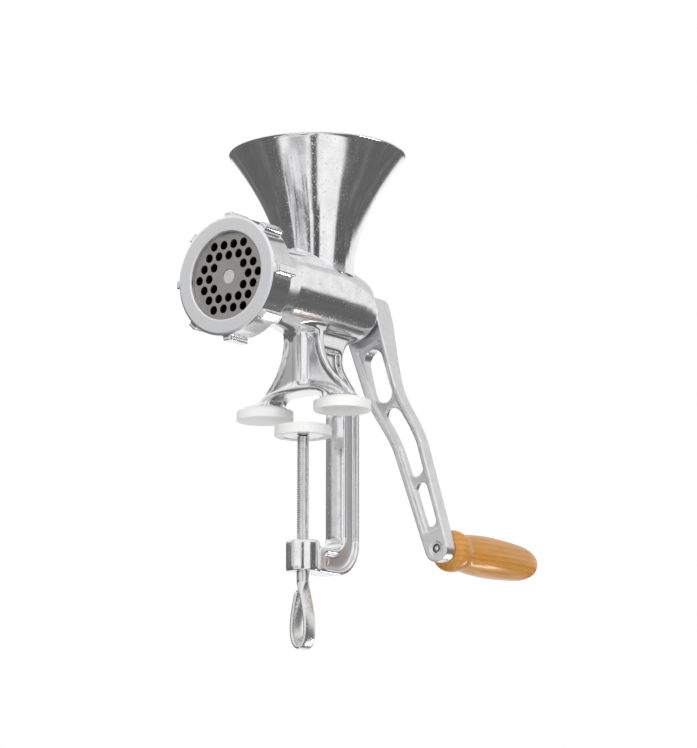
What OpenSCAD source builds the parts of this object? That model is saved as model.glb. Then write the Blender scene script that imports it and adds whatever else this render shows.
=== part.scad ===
// Hand-cranked meat grinder with a table clamp.
// The origin lies on the table top, on the axis of the clamp screw, midway between the two feet.
// +Z is up, the barrel runs along Y and the cutting plate faces -Y.

/* [Barrel] */
// Height of the barrel axis above the table top
axis_z = 65.4; // [60:0.2:75]
// Outside diameter of the barrel
barrel_od = 32; // [30:0.2:36]
// Wall of the barrel
barrel_wall = 3; // [2.6:0.1:3.6]
// Rear end of the barrel, behind the clamp screw axis
rear_y = 47; // [44:0.5:54]
// Thickness of the barrel's rear wall, where the auger runs
rear_wall = 8; // [6:0.5:10]
// Length of the bearing boss behind the rear wall
bearing_len = 2; // [1.4:0.2:6]
// Wall of the bearing boss round the auger shank
bearing_wall = 3.6; // [3:0.1:5]

/* [Cutting head] */
// Front face of the cutting plate, ahead of the clamp screw axis
plate_reach = 64.9; // [62:0.1:72]
// Diameter of the cutting plate
plate_d = 53; // [51:0.5:55]
// Thickness of the cutting plate
plate_t = 5; // [4:0.2:6]
// Diameter of the holes in the cutting plate
hole_d = 4.7; // [3:0.1:5.4]
// Spacing of the holes in the cutting plate
hole_pitch = 6.6; // [6.2:0.1:6.8]
// Wall of the barrel mouth round the plate
mouth_wall = 2.1; // [1.8:0.1:2.8]
// Length of the threaded mouth
thread_len = 11; // [9:0.5:12]
// Length of the conical neck behind the threaded mouth
cone_len = 15; // [12:0.5:18]
// Length of the knife along the axis
knife_t = 6; // [5:0.5:7]

/* [Ring nut] */
// Length of the ring nut
ring_len = 16.5; // [15:0.5:18]
// Wall of the ring nut outside its thread
ring_wall = 3.3; // [2.8:0.1:4]
// Thickness of the lip that holds the plate
ring_lip = 2.6; // [2:0.1:3.2]
// Diameter of the window in the ring nut
window_d = 46.8; // [46.6:0.2:48.2]
// Number of grip lugs round the ring nut
lug_count = 8; // [6:1:10]
// Width of a grip lug
lug_w = 5; // [4:0.5:6]
// Height of a grip lug
lug_h = 2.5; // [2:0.1:3]

/* [Hopper] */
// Hopper axis, behind the clamp screw axis
hopper_y = 11.8; // [9:0.1:13]
// Height of the hopper rim above the barrel axis
hopper_h = 83; // [75:0.5:90]
// Outside diameter of the hopper rim
rim_d = 97.8; // [85:0.2:105]
// Outside diameter of the hopper neck
neck_d = 40; // [38:0.5:43]
// Wall of the hopper
hopper_wall = 2.6; // [2.2:0.1:3.2]
// How fast the hopper flares towards its rim
flare = 1.75; // [1.5:0.05:2]
// Radius of the housing round the barrel that carries the hopper
shoulder_r = 25; // [24:0.1:26]
// Height of the housing's centre above the barrel axis
shoulder_rise = 0.8; // [0:0.1:2]

/* [Auger and crank fixing] */
// Diameter of the auger shank in its bearing
shank_d = 13; // [12:0.5:14]
// Diameter of the auger core
core_d = 13; // [11:0.5:14]
// Lead of the auger flight
lead = 24; // [20:1:30]
// Side of the square that the crank sits on
square_w = 9.6; // [9:0.1:10]
// Diameter of the thumb screw thread
stud_d = 5.8; // [5:0.1:6]
// Diameter of the thumb screw head
thumb_d = 14; // [13:0.5:16]
// Length of the thumb screw head
thumb_len = 6.5; // [5:0.5:9]

/* [Crank] */
// Distance from the barrel axis to the handle axis
crank_len = 140.9; // [134:0.1:146]
// Angle of the crank away from straight down
crank_angle = 18.1; // [0:0.1:30]
// Backward step of the crank between hub and handle
crank_step = 12.1; // [12:0.1:15]
// Half width of the crank at its hub
hub_half_w = 12; // [11:0.5:13]
// Height of the crank's hub above the barrel axis
hub_top = 9; // [8.5:0.1:10]
// Radius of the hub's upper corners
hub_corner = 7; // [6:0.5:8]
// Half width of the crank at the handle
tip_half_w = 7.4; // [7:0.1:8.5]
// Thickness of the crank at its hub
hub_t = 15.5; // [12:0.5:18]
// Thickness of the crank at the handle
tip_t = 8.4; // [7.6:0.2:9.4]
// Width of the raised edge along the crank
crank_rim = 3; // [2.4:0.2:3.4]

/* [Handle] */
// Length of the wooden grip
grip_len = 84; // [68:0.5:84]
// Largest diameter of the wooden grip
grip_d = 22.8; // [21:0.2:26]
// Diameter of the grip's axle
axle_d = 6; // [5:0.2:6.4]

/* [Stand] */
// Distance between the centres of the two feet
foot_span = 52.6; // [48:0.2:56]
// Diameter of a cast foot
foot_d = 21; // [19:0.5:22]
// Thickness of a cast foot
foot_t = 5; // [4:0.5:6]
// Width of the stand under the barrel
stand_w = 25; // [22:0.5:27]
// Thickness of the stand's front panels
panel_t = 6; // [5:0.5:7]
// Sweep of each front panel back from the middle rib
panel_sweep = 10; // [4:1:14]
// Radius of the curve from the barrel down to a foot
leg_curve = 34; // [30:1:38]
// Height of the arch between the feet above the table top
arch_z = 15; // [13:0.5:18]
// Thickness of the arch that joins the feet, at its crown
bridge_t = 3.5; // [3:0.1:4.5]

/* [Clamp] */
// Depth of the clamp throat behind the screw axis
throat = 28.6; // [26:0.2:34]
// Width of the clamp bar
bar_w = 14; // [12:0.2:15]
// Drop from the stand's top to the ledge over its side panels
ledge_drop = 8.4; // [6:0.2:10]
// Depth of the clamp bar, front to back
bar_depth = 14; // [12:0.2:16]
// Thickness of the web between the bar's raised edges
web_t = 7.4; // [6:0.2:9]
// Width of the raised edge round the side panels
bar_rim = 2.8; // [2.2:0.2:3.4]
// Bottom of the clamp below the table top
clamp_drop = 84.4; // [80:0.1:100]
// Diameter of the screw boss
boss_d = 18.2; // [17:0.2:21]
// Height of the screw boss
boss_h = 17; // [15:0.1:20]

/* [Clamp screw] */
// Diameter of the clamp screw
screw_d = 6.6; // [6:0.2:8]
// Gap left between the feet and the clamp pad
clamp_gap = 5.6; // [4:0.1:12]
// Length of screw between the boss and the eye
screw_tail = 5; // [4:0.5:8]
// Height of the eye at the lower end
eye_h = 36.5; // [32:0.1:42]
// Width of the eye
eye_w = 13; // [12:0.5:15]
// Width of the flattened bar in the eye
eye_bar_w = 8; // [7:0.2:9]
// Thickness of the flattened bar in the eye
eye_bar_t = 2.4; // [2:0.1:2.8]

/* [Pads] */
// Diameter of a plastic pad
pad_d = 31; // [29:0.2:33]
// Thickness of plastic between a foot and the table
pad_floor = 3; // [2.4:0.2:4]
// Height of a pad's broad disc
pad_disc = 5.5; // [4.6:0.1:6]
// Wall of a pad's collar round the foot
pad_collar = 1.6; // [1.2:0.1:2.2]

/* [Clearances] */
// Radial clearance of a shaft or thread in its bore
run_clear = 0.08; // [0.05:0.01:0.1]
// Gap between faces that turn past each other
face_gap = 0.3; // [0.2:0.05:0.4]
// Gap between the auger flight and the barrel
flight_gap = 0.5; // [0.4:0.05:0.8]

/* [Hidden] */

// Smoothness of true round surfaces, which carry over exactly
$fn = 96;
// Smoothness inside hulls
hull_fn = 48;
// Overlap that makes a cut or a union unambiguous
eps = 0.5;

// Colours of the materials
cast_aluminium = "#c9cacc";
polished_aluminium = "#d8d9db";
bright_steel = "#b9b9b6";
zinc_steel = "#c4c6c2";
white_plastic = "#ececea";
wood = "#cf9a55";

// Radii along the barrel
barrel_r = barrel_od / 2;
bore_r = barrel_r - barrel_wall;
plate_r = plate_d / 2;
recess_r = plate_r + run_clear;
mouth_r = recess_r + mouth_wall;
seat_w = 2.6;
chamber_r = recess_r - seat_w;
shank_r = shank_d / 2;
bearing_r = shank_r + run_clear;
bearing_boss_r = bearing_r + bearing_wall;

// Places along the barrel, front to back
plate_y = -plate_reach;
plate_back_y = plate_y + plate_t;
ring_y = plate_y - ring_lip;
mouth_y = plate_back_y - plate_t / 2;
mouth_end_y = mouth_y + thread_len;
cone_end_y = mouth_end_y + cone_len;
knife_y = plate_back_y + face_gap / 2;
knife_back_y = knife_y + knife_t;
auger_front_y = knife_back_y + face_gap;
wall_y = rear_y - rear_wall;
washer_t = 1.5;
collar_t = 2.4;
thrust_y = wall_y - washer_t;
collar_y = thrust_y - face_gap - collar_t;
bearing_end_y = rear_y + bearing_len;
crank_y = bearing_end_y + face_gap;
crank_back_y = crank_y + hub_t;

// Hopper
neck_r = neck_d / 2;
rim_r = rim_d / 2;
neck_z = axis_z + barrel_r + 1.5;
rim_z = axis_z + hopper_h;
throat_r = neck_r - hopper_wall;
slot_half_w = bore_r - 1;
slot_half_len = throat_r;
shoulder_drop = 4;
shoulder_run = 9;
shoulder_rear = 2.4;
housing_y = mouth_end_y + 0.7;
housing_end_y = rear_y - 14.5;
housing_keel = 11.6;
split_y = hopper_y - neck_r - 14;

// Stand and clamp
stand_top_z = axis_z - barrel_r - 3;
foot_x = foot_span / 2;
foot_r = foot_d / 2;
foot_z = pad_floor;
foot_top_z = foot_z + foot_t;
rib_r = 4.2;
rib_y = -foot_x * tan(panel_sweep);
bar_rear_y = throat + bar_depth;
waist_y = throat - 1.7;
waist_flare = 12;
clamp_bottom_z = -clamp_drop;
boss_top_z = clamp_bottom_z + boss_h;
arm_top_z = boss_top_z - 3;
boss_r = boss_d / 2;
screw_r = screw_d / 2;

// Pads
pad_r = pad_d / 2;
pad_top_z = -clamp_gap;
pad_skin = 1.6;
head_space = 1.5;
swivel_t = 2.0;
swivel_r = 11;
swivel_top_z = pad_top_z - pad_skin - head_space;
swivel_z = swivel_top_z - swivel_t;
pad_bottom_z = swivel_z - 0.4;
tip_r = screw_r * 0.62;

// Crank and handle
handle_x = crank_len * sin(crank_angle);
handle_z = axis_z - crank_len * cos(crank_angle);
tip_y = crank_y + crank_step;
tip_back_y = tip_y + tip_t;
grip_y = tip_back_y + face_gap;
axle_r = axle_d / 2;
axle_head_r = axle_r + 1.7;
axle_head_t = 2.6;
axle_washer_t = 1;
grip_seat_depth = 6.5;
rivet_r = 1.9;
rivet_sink = 1.4;
square_end_y = crank_back_y - 1;
stud_r = stud_d / 2;
stud_depth = 16;
fix_washer_t = 1.2;
thumb_y = crank_back_y + fix_washer_t;

function arc(cx, cy, r, a0, a1, n = 12) =
    [for (i = [0:n]) let (a = a0 + (a1 - a0) * i / n) [cx + r * cos(a), cy + r * sin(a)]];
function arc_of(cx, cy, rx, ry, a0, a1, n = 8) =
    [for (i = [0:n]) let (a = a0 + (a1 - a0) * i / n) [cx + rx * cos(a), cy + ry * sin(a)]];
function smooth(t) = let (c = min(1, max(0, t))) (1 - cos(180 * c)) / 2;

// Turns a shape drawn along Z so that it runs along the barrel axis from y
module on_axis(y) translate([0, y, axis_z]) rotate([-90, 0, 0]) children();
// The same on the handle's axis
module on_handle(y) translate([handle_x, y, handle_z]) rotate([-90, 0, 0]) children();
// Turns the crank's own plane to its place, with its hub at the origin and its arm along -Z
module on_crank() translate([0, crank_y, axis_z]) rotate([0, -crank_angle, 0]) children();
// Extrudes a front outline (x, z) between two places along Y
module front_extrude(y0, y1)
    translate([0, y1, 0]) rotate([90, 0, 0]) linear_extrude(y1 - y0) children();
// Extrudes a side outline (y, z) evenly about X = 0
module side_extrude(w)
    translate([-w / 2, 0, 0]) rotate([90, 0, 90]) linear_extrude(w) children();

// Section of the barrel and its cutting head, as radius and place along the axis
module barrel_section() {
    edge = 1.2;
    polygon([
        [mouth_r, mouth_y], [mouth_r, mouth_end_y], [barrel_r, cone_end_y], [barrel_r, rear_y - edge],
        [barrel_r - edge, rear_y], [bearing_boss_r, rear_y], [bearing_boss_r, bearing_end_y],
        [bearing_r, bearing_end_y], [bearing_r, wall_y], [bore_r, wall_y], [bore_r, cone_end_y],
        [chamber_r, mouth_end_y], [chamber_r, plate_back_y], [recess_r, plate_back_y], [recess_r, mouth_y]
    ]);
}

// Passage from the hopper's neck down into the bore
module feed_throat() hull() {
    translate([0, hopper_y, neck_z]) cylinder(r = throat_r, h = eps, $fn = hull_fn);
    translate([-slot_half_w, hopper_y - slot_half_len, axis_z])
        cube([2 * slot_half_w, 2 * slot_half_len, eps]);
}

// Wide upper housing of the barrel, which closes round the neck and narrows to the rear
module saddle() {
    front = hopper_y - neck_r;
    hull() {
        translate([0, hopper_y, neck_z - shoulder_drop]) cylinder(r = neck_r, h = eps, $fn = hull_fn);
        intersection() {
            on_axis(housing_y) translate([0, -shoulder_rise, 0])
                cylinder(r = shoulder_r, h = housing_end_y - housing_y, $fn = hull_fn);
            translate([-rim_d, -rim_d, axis_z - housing_keel]) cube(2 * rim_d);
        }
        on_axis(front - shoulder_run)
            cylinder(r = barrel_r, h = rear_y - shoulder_rear - front + shoulder_run, $fn = hull_fn);
    }
    translate([0, hopper_y, neck_z - shoulder_drop]) cylinder(r = neck_r, h = shoulder_drop + eps);
}

// Half of space above or below the level face where the hopper meets the barrel
module above_neck() translate([-rim_d, split_y, neck_z]) cube(2 * rim_d);

// Chin under the barrel that the stand grows out of, drawn forward to the cone
module belly() hull() {
    soft = 4;
    nose_r = 5;
    front = rib_y - rib_r / 2;
    for (x = [-1, 1], y = [front + soft, panel_t - soft / 2])
        translate([x * (stand_w / 2 - soft), y, stand_top_z])
            cylinder(r = soft, h = eps, $fn = hull_fn);
    translate([0, front - soft, axis_z - barrel_r * 0.62]) rotate([-90, 0, 0])
        cylinder(r = barrel_r * 0.4, h = panel_t + 2 * soft, $fn = hull_fn);
    translate([0, cone_end_y - 2, stand_top_z + nose_r]) rotate([-90, 0, 0])
        cylinder(r = nose_r, h = eps, $fn = hull_fn);
}

// Root of the clamp bar under the barrel
module keel() translate([-bar_w / 2, 0, stand_top_z]) cube([bar_w, waist_y + waist_flare, barrel_r]);

key_pin_r = 1.1;
key_pin_reach = recess_r - seat_w / 2;
key_pin_depth = 5;
module grinding_barrel() color(cast_aluminium) difference() {
    union() {
        difference() {
            union() {
                difference() {
                    saddle();
                    above_neck();
                }
                belly();
                keel();
            }
            on_axis(wall_y - eps) cylinder(r = bore_r, h = rear_wall);
            on_axis(cone_end_y) cylinder(r = bore_r + barrel_wall / 2, h = wall_y - cone_end_y);
            on_axis(mouth_end_y)
                cylinder(r1 = chamber_r + mouth_wall / 2, r2 = bore_r + barrel_wall / 2, h = cone_len);
        }
        on_axis(0) rotate_extrude() barrel_section();
    }
    feed_throat();
    on_axis(plate_back_y - eps) translate([0, key_pin_reach, 0])
        cylinder(r = key_pin_r, h = key_pin_depth + eps);
}

// Radius of the hopper's outer face at a share t of its height
function hopper_r(t) = neck_r + (rim_r - neck_r) * pow(t, flare);
hopper_steps = 28;
function hopper_side(inset) = [for (i = [0:hopper_steps]) let (t = i / hopper_steps)
    [hopper_r(t) - inset, neck_z + (rim_z - neck_z) * t]];
module hopper_outside() translate([0, hopper_y, 0]) rotate_extrude() {
    lip = 0.8;
    top = rim_z - lip;
    polygon(concat(
        [[0, neck_z]],
        [for (p = hopper_side(0)) [p[0], min(p[1], top)]],
        [[rim_r - lip, rim_z], [0, rim_z]]
    ));
}
module hopper_inside() translate([0, hopper_y, 0]) rotate_extrude()
    polygon(concat(
        [[0, neck_z - eps], [throat_r, neck_z - eps]],
        hopper_side(hopper_wall),
        [[rim_r - hopper_wall, rim_z + eps], [0, rim_z + eps]]
    ));
module hopper() color(polished_aluminium) difference() {
    union() {
        hopper_outside();
        intersection() {
            saddle();
            above_neck();
        }
    }
    hopper_inside();
}

// Outline of one front panel, from the middle rib outwards, drawn in by i
function panel_outline(i) = let (
        k = 1 / cos(panel_sweep),
        sweep = 50,
        top = stand_top_z,
        curve_z = stand_top_z - 2,
        sole = foot_top_z - eps,
        reach = (foot_x - foot_r * 0.8) * k
    ) concat(
        [[0, top], [stand_w / 2 * k - i, top]],
        [for (p = arc(stand_w / 2 * k + leg_curve, curve_z, leg_curve + i, 180, 180 + sweep)) p],
        [[(foot_x + foot_r * 0.8) * k - 1.4 * i, sole]],
        [for (j = [0:10]) let (a = 90 * j / 10)
            [(reach + i) * cos(a), sole + (arch_z - sole + i) * sin(a)]]
    );

// One half of the front of the stand: a rimmed panel that sweeps back from the middle rib
module half_front() translate([0, rib_y, 0]) rotate([0, 0, panel_sweep]) difference() {
    rim = 2.2;
    sink = 1.2;
    front_extrude(0, panel_t) polygon(panel_outline(0));
    front_extrude(-eps, sink) intersection() {
        polygon(panel_outline(rim));
        square([2 * foot_span, stand_top_z - rim]);
    }
    front_extrude(panel_t - sink, panel_t + eps) intersection() {
        polygon(panel_outline(rim));
        translate([bar_w, 0]) square([2 * foot_span, stand_top_z - rim]);
    }
}

// Side outline of the clamp bar, drawn in by i, with its lower arm ending at y
function clamp_outline(i, y) = let (
        corner = 20,
        inner = 8,
        top_curve = 9,
        waist_z = stand_top_z - 13,
        bend_z = waist_z - 21,
        top = i > 0 ? stand_top_z - ledge_drop : stand_top_z,
        n = 10,
        under = arch_z + 0.4
    ) concat(
        [[rib_y + panel_t / 2 + (i > 0 ? panel_t : 0), top]],
        i > 0 ? [[waist_y - i, top]]
            : arc_of(waist_y + waist_flare, waist_z, waist_flare, top - waist_z, 90, 180),
        [for (j = [1:n]) let (t = j / n)
            [waist_y - i + (bar_rear_y - waist_y) * smooth(t), waist_z + (bend_z - waist_z) * t]],
        arc(bar_rear_y - corner, clamp_bottom_z + corner, corner - i, 0, -90),
        [[y, clamp_bottom_z + i], [y, arm_top_z - i]],
        arc(throat - inner, arm_top_z + inner, inner + i, -90, 0),
        arc(throat - top_curve, under - top_curve, top_curve + i, 0, 90),
        [[rib_y + panel_t / 2 + (i > 0 ? panel_t : 0), under + i]]
    );

module side_panel_cuts() {
    depth = (bar_w - web_t) / 2;
    for (s = [-1, 1]) translate([s * (web_t / 2 + depth / 2 + eps / 2), 0, 0])
        side_extrude(depth + eps) polygon(clamp_outline(bar_rim, boss_r + bar_rim));
}

// Round mark left by the mould on each side of the lower arm
module mould_mark() {
    mark_r = 2.6;
    mark_y = boss_r + bar_rim + mark_r + 0.6;
    mark_z = (clamp_bottom_z + arm_top_z) / 2;
    translate([-web_t / 2 - 0.6, mark_y, mark_z]) rotate([0, 90, 0])
        cylinder(r = mark_r, h = web_t + 1.2);
}

// Deep arch that joins the two feet under the front panels
module foot_bridge() {
    depth = 17;
    front = rib_y - rib_r / 2 - 1.4;
    rise = 1;
    sole = foot_top_z - eps;
    wide = foot_x + 0.2;
    narrow = foot_x - 8;
    steps = 16;
    crown = arch_z + rise - sole;
    hollow = arch_z - bridge_t + rise - sole;
    front_extrude(front, front + depth) polygon(concat(
        [for (j = [0:steps]) let (a = 180 * j / steps) [wide * cos(a), sole + crown * sin(a)]],
        [for (j = [steps:-1:0]) let (c = cos(180 * j / steps), h = pow(1 - pow(abs(c), 3), 1 / 3))
            [narrow * c, sole + hollow * h]]
    ));
}

module cast_foot(x) translate([x, 0, foot_z]) cylinder(r = foot_r, h = foot_t);

module clamp_stand() color(cast_aluminium) difference() {
    union() {
        half_front();
        mirror([1, 0, 0]) half_front();
        translate([0, rib_y + rib_r / 2, arch_z - bridge_t / 4])
            cylinder(r = rib_r, h = stand_top_z - arch_z + bridge_t / 4);
        difference() {
            side_extrude(bar_w) polygon(clamp_outline(0, 0));
            side_panel_cuts();
        }
        mould_mark();
        foot_bridge();
        cast_foot(-foot_x);
        cast_foot(foot_x);
        translate([0, 0, clamp_bottom_z]) cylinder(r = boss_r, h = boss_h);
    }
    translate([0, 0, clamp_bottom_z - eps]) cylinder(r = screw_r + run_clear, h = boss_h + 2 * eps);
}

module plate_key_pin() color(bright_steel)
    on_axis(plate_y + plate_t / 2) translate([0, key_pin_reach, 0])
        cylinder(r = key_pin_r, h = key_pin_depth + plate_t / 2);

// Plastic cap pushed over a cast foot
module foot_pad(x) color(white_plastic) translate([x, 0, 0]) difference() {
    collar_r = foot_r + run_clear + pad_collar;
    collar_z = foot_top_z - 1;
    edge = 0.8;
    rotate_extrude() polygon([
        [0, 0], [pad_r - edge, 0], [pad_r, edge], [pad_r, pad_disc - edge], [pad_r - edge, pad_disc],
        [collar_r, pad_disc], [collar_r, collar_z], [0, collar_z]
    ]);
    translate([0, 0, pad_floor]) cylinder(r = foot_r + run_clear, h = foot_t + eps);
}
module foot_pad_left() foot_pad(-foot_x);
module foot_pad_right() foot_pad(foot_x);

module thrust_washer() color(white_plastic) on_axis(thrust_y) difference() {
    cylinder(r = shank_r + 3.4, h = washer_t);
    translate([0, 0, -eps]) cylinder(r = bearing_r, h = washer_t + 2 * eps);
}

// Radius of the bore at y, which widens into the cutting chamber
function bore_at(y) = y >= cone_end_y ? bore_r
    : chamber_r + (bore_r - chamber_r) * max(0, (y - mouth_end_y) / (cone_end_y - mouth_end_y));

// The auger's core and flight as one swept skin: each ring is a core circle with one raised lobe
module auger_screw() {
    rings_per_turn = 20;
    sides = 30;
    lobe = 66;
    crest = 0.45;
    length = collar_y - auger_front_y;
    rings = ceil(length / lead * rings_per_turn);
    core_r = core_d / 2;
    function flight_r(y) = bore_at(max(y, auger_front_y + 0.5)) - flight_gap;
    function lift(a, y) = let (d = min(a, 360 - a) / (lobe / 2), fade = min(1, (collar_y - y) / 5))
        d >= 1 ? 0 : fade * min(1, (1 - d) / (1 - crest));
    points = [for (k = [0:rings]) let (h = length * k / rings, y = auger_front_y + h)
        for (j = [0:sides - 1]) let (
                a = 360 * j / sides,
                b = a - 360 * h / lead,
                r = core_r + (flight_r(y) - core_r) * lift(a, y))
            [r * cos(b), r * sin(b), h]];
    walls = [for (k = [0:rings - 1], j = [0:sides - 1]) let (
            a = k * sides + j, b = k * sides + (j + 1) % sides, c = b + sides, d = a + sides)
        for (f = [[a, c, b], [a, d, c]]) f];
    cap_front = [for (j = [0:sides - 1]) j];
    cap_rear = [for (j = [sides - 1:-1:0]) rings * sides + j];
    on_axis(auger_front_y) polyhedron(points, concat(walls, [cap_front, cap_rear]));
}

stud_tail = 14;
stud_square = 7.6;
module auger() color(cast_aluminium) difference() {
    union() {
        auger_screw();
        on_axis(collar_y - eps) cylinder(r = shank_r + 3, h = collar_t + eps);
        on_axis(collar_y) cylinder(r = shank_r, h = crank_y - collar_y);
        on_crank() translate([-square_w / 2, -face_gap / 2, -square_w / 2])
            cube([square_w, square_end_y - crank_y + face_gap / 2, square_w]);
    }
    on_axis(auger_front_y - eps) cylinder(r = stud_square / 2, h = stud_tail + eps);
    on_axis(square_end_y - stud_depth) cylinder(r = stud_r + run_clear, h = stud_depth + eps);
}

pin_r = 3.7;
module auger_stud() color(bright_steel) {
    on_axis(auger_front_y) cylinder(r = stud_square / 2, h = stud_tail);
    on_axis(knife_y) translate([-stud_square / 2, -stud_square / 2, 0])
        cube([stud_square, stud_square, auger_front_y - knife_y]);
    on_axis(plate_y + 0.4) cylinder(r = pin_r, h = knife_y - plate_y);
}

// Four-bladed knife: each blade has a flat cutting face against the plate and a sloping back
module knife() color(bright_steel) on_axis(knife_y) difference() {
    blade_r = chamber_r - 2;
    blade_w = 8;
    hub_r = 8.6;
    union() {
        cylinder(r = hub_r, h = knife_t);
        for (q = [0:3]) rotate(90 * q) rotate([90, 0, 90]) linear_extrude(blade_r)
            polygon([[-blade_w / 2, 0], [blade_w / 2, 0], [blade_w / 2, 1.2],
                [0.5, knife_t - 1], [-blade_w / 2, knife_t - 1]]);
    }
    half = stud_square / 2 + run_clear;
    translate([-half, -half, -eps]) cube([2 * half, 2 * half, knife_t + 2 * eps]);
}

// Perforated plate: the holes fill the outer two rings of a honeycomb
module cutting_plate() color(bright_steel) on_axis(plate_y) difference() {
    cylinder(r = plate_r, h = plate_t);
    translate([0, 0, -eps]) cylinder(r = pin_r + run_clear, h = plate_t + 2 * eps);
    for (i = [-3:3], j = [-3:3]) let (ring = max(abs(i), abs(j), abs(i + j)))
        if (ring == 2 || ring == 3)
            translate([hole_pitch * (i + j / 2), hole_pitch * j * sin(60), -eps])
                cylinder(d = hole_d, h = plate_t + 2 * eps);
    notch_r = key_pin_r + 0.3;
    translate([0, key_pin_reach, plate_t / 2 - 0.3]) cylinder(r = notch_r, h = plate_t);
    translate([-notch_r, key_pin_reach, plate_t / 2 - 0.3]) cube([2 * notch_r, plate_r, plate_t]);
}

ring_bore_r = mouth_r + run_clear;
ring_r = ring_bore_r + ring_wall;
module ring_nut() color(cast_aluminium) on_axis(ring_y) difference() {
    soft = 1.4;
    lug_y = 1.6;
    union() {
        rotate_extrude() polygon(concat(
            [[0, 0]],
            arc(ring_r - soft, soft, soft, -90, 0, 6),
            [[ring_r, ring_len], [0, ring_len]]
        ));
        for (k = [0:lug_count - 1]) rotate(360 / lug_count * k)
            translate([ring_r - 1, -lug_w / 2, lug_y]) cube([lug_h + 1, lug_w, ring_len - lug_y]);
    }
    translate([0, 0, -eps]) cylinder(d = window_d, h = ring_len);
    translate([0, 0, ring_lip]) cylinder(r = ring_bore_r, h = ring_len);
}

// Half width of the crank at a distance s from the hub
function crank_half(s) = hub_half_w + (tip_half_w - hub_half_w) * s / crank_len;

// Outline of the crank seen from the front, drawn in by i: square-shouldered hub, taper and round end
function crank_outline(i) = let (
        corner = hub_corner - i,
        top = hub_top - i,
        side = hub_half_w - i,
        tip = tip_half_w - i,
        lean = asin((hub_half_w - tip_half_w) / crank_len)
    ) concat(
        arc(side - corner, top - corner, corner, 90, 0, 10),
        arc(0, -crank_len, tip, -lean, lean - 180, 24),
        arc(corner - side, top - corner, corner, 180, 90, 10)
    );

// Step of the crank's front face and its thickness at a distance s from the hub
function crank_front(s) = crank_step * smooth((s - 0.32 * crank_len) / (0.26 * crank_len));
function crank_thick(s) = let (along = min(1, max(0, (s - hub_top) / (0.36 * crank_len))))
    tip_t + (hub_t - tip_t) * pow(1 - along, 1.6);

// Side band of the crank, as thick as the arm less i on each face
module crank_band(i) side_extrude(4 * hub_half_w) {
    steps = 36;
    s0 = -2 * hub_half_w;
    s1 = crank_len + 2 * tip_half_w;
    stations = [for (k = [0:steps]) s0 + (s1 - s0) * k / steps];
    polygon(concat(
        [for (s = stations) [crank_front(s) + i, -s]],
        [for (k = [steps:-1:0]) let (s = stations[k]) [crank_front(s) + crank_thick(s) - i, -s]]
    ));
}

// Three long slots, each as wide as the panel between the raised edges leaves room for
crank_slots = [[0.158, 0.381], [0.408, 0.69], [0.72, 0.905]];
module crank_slot(a, b) {
    s0 = a * crank_len;
    s1 = b * crank_len;
    r = crank_half((s0 + s1) / 2) - crank_rim - 1.6;
    translate([-r, -s1 + r]) square([2 * r, s1 - s0 - 2 * r]);
    for (s = [s0 + r, s1 - r]) translate([0, -s]) circle(r = r);
}

module crank_arm() color(cast_aluminium) difference() {
    sink = 2.6;
    panel_top = 0.145 * crank_len;
    panel_end = 0.925 * crank_len;
    on_crank() difference() {
        intersection() {
            front_extrude(-eps, crank_step + hub_t + 2 * eps) polygon(crank_outline(0));
            crank_band(0);
        }
        difference() {
            front_extrude(-2 * eps, crank_step + hub_t + 3 * eps) intersection() {
                polygon(crank_outline(crank_rim));
                translate([-2 * hub_half_w, -panel_end]) square([4 * hub_half_w, panel_end - panel_top]);
            }
            crank_band(sink);
        }
        front_extrude(-2 * eps, crank_step + hub_t + 3 * eps)
            for (s = crank_slots) crank_slot(s[0], s[1]);
        half = square_w / 2 + run_clear / 2;
        translate([-half, -eps, -half]) cube([2 * half, hub_t + 2 * eps, 2 * half]);
    }
    on_handle(tip_y - eps) cylinder(r = axle_r, h = tip_t + 2 * eps);
    on_handle(tip_y - eps) cylinder(r = axle_r + 0.6, h = rivet_sink + eps);
}

// Steel axle, riveted into the crank, with its head sunk in the far end of the grip
axle_head_y = grip_y + grip_len - grip_seat_depth + axle_washer_t + face_gap;
module handle_axle() color(bright_steel) {
    on_handle(tip_y + rivet_sink) cylinder(r = axle_r, h = axle_head_y - tip_y - rivet_sink);
    on_handle(tip_y + 0.5) cylinder(r = rivet_r, h = rivet_sink);
    soft = 1.2;
    on_handle(axle_head_y) rotate_extrude() polygon(concat(
        [[0, 0], [axle_head_r, 0]],
        arc(axle_head_r - soft, axle_head_t - soft, soft, 0, 90, 5),
        [[0, axle_head_t]]
    ));
}

module axle_washer() color(zinc_steel) on_handle(axle_head_y - axle_washer_t) difference() {
    cylinder(r = axle_head_r + 0.6, h = axle_washer_t);
    translate([0, 0, -eps]) cylinder(r = axle_r + run_clear, h = axle_washer_t + 2 * eps);
}

// Radius of the turned grip at a share t of its length: a collar, a groove, then a long swell
function grip_collar(t) =
    0.92 + 0.1 * sin(180 * min(1, t / 0.16)) - 0.12 * smooth((t - 0.1) / 0.07);
function grip_swell(t) = 0.21 * sin(180 * pow(min(1, max(0, (t - 0.14) / 0.86)), 0.75));
function grip_round(t) = sqrt(max(0, 1 - pow(max(0, (t - 0.84) / 0.16), 2) * 0.82));
function grip_start(t) = sqrt(max(0, 1 - pow(max(0, (0.05 - t) / 0.05), 2) * 0.5));
function grip_r(t) = grip_d / 2 * (grip_collar(t) + grip_swell(t)) * grip_round(t) * grip_start(t);
module handle_grip() color(wood) on_handle(grip_y) difference() {
    steps = 44;
    rotate_extrude() polygon(concat(
        [[0, 0]],
        [for (k = [0:steps]) [grip_r(k / steps), grip_len * k / steps]],
        [[0, grip_len]]
    ));
    translate([0, 0, -eps]) cylinder(r = axle_r + run_clear, h = grip_len);
    translate([0, 0, grip_len - grip_seat_depth])
        cylinder(r = axle_head_r + 0.6 + face_gap, h = grip_seat_depth + eps);
}

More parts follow.
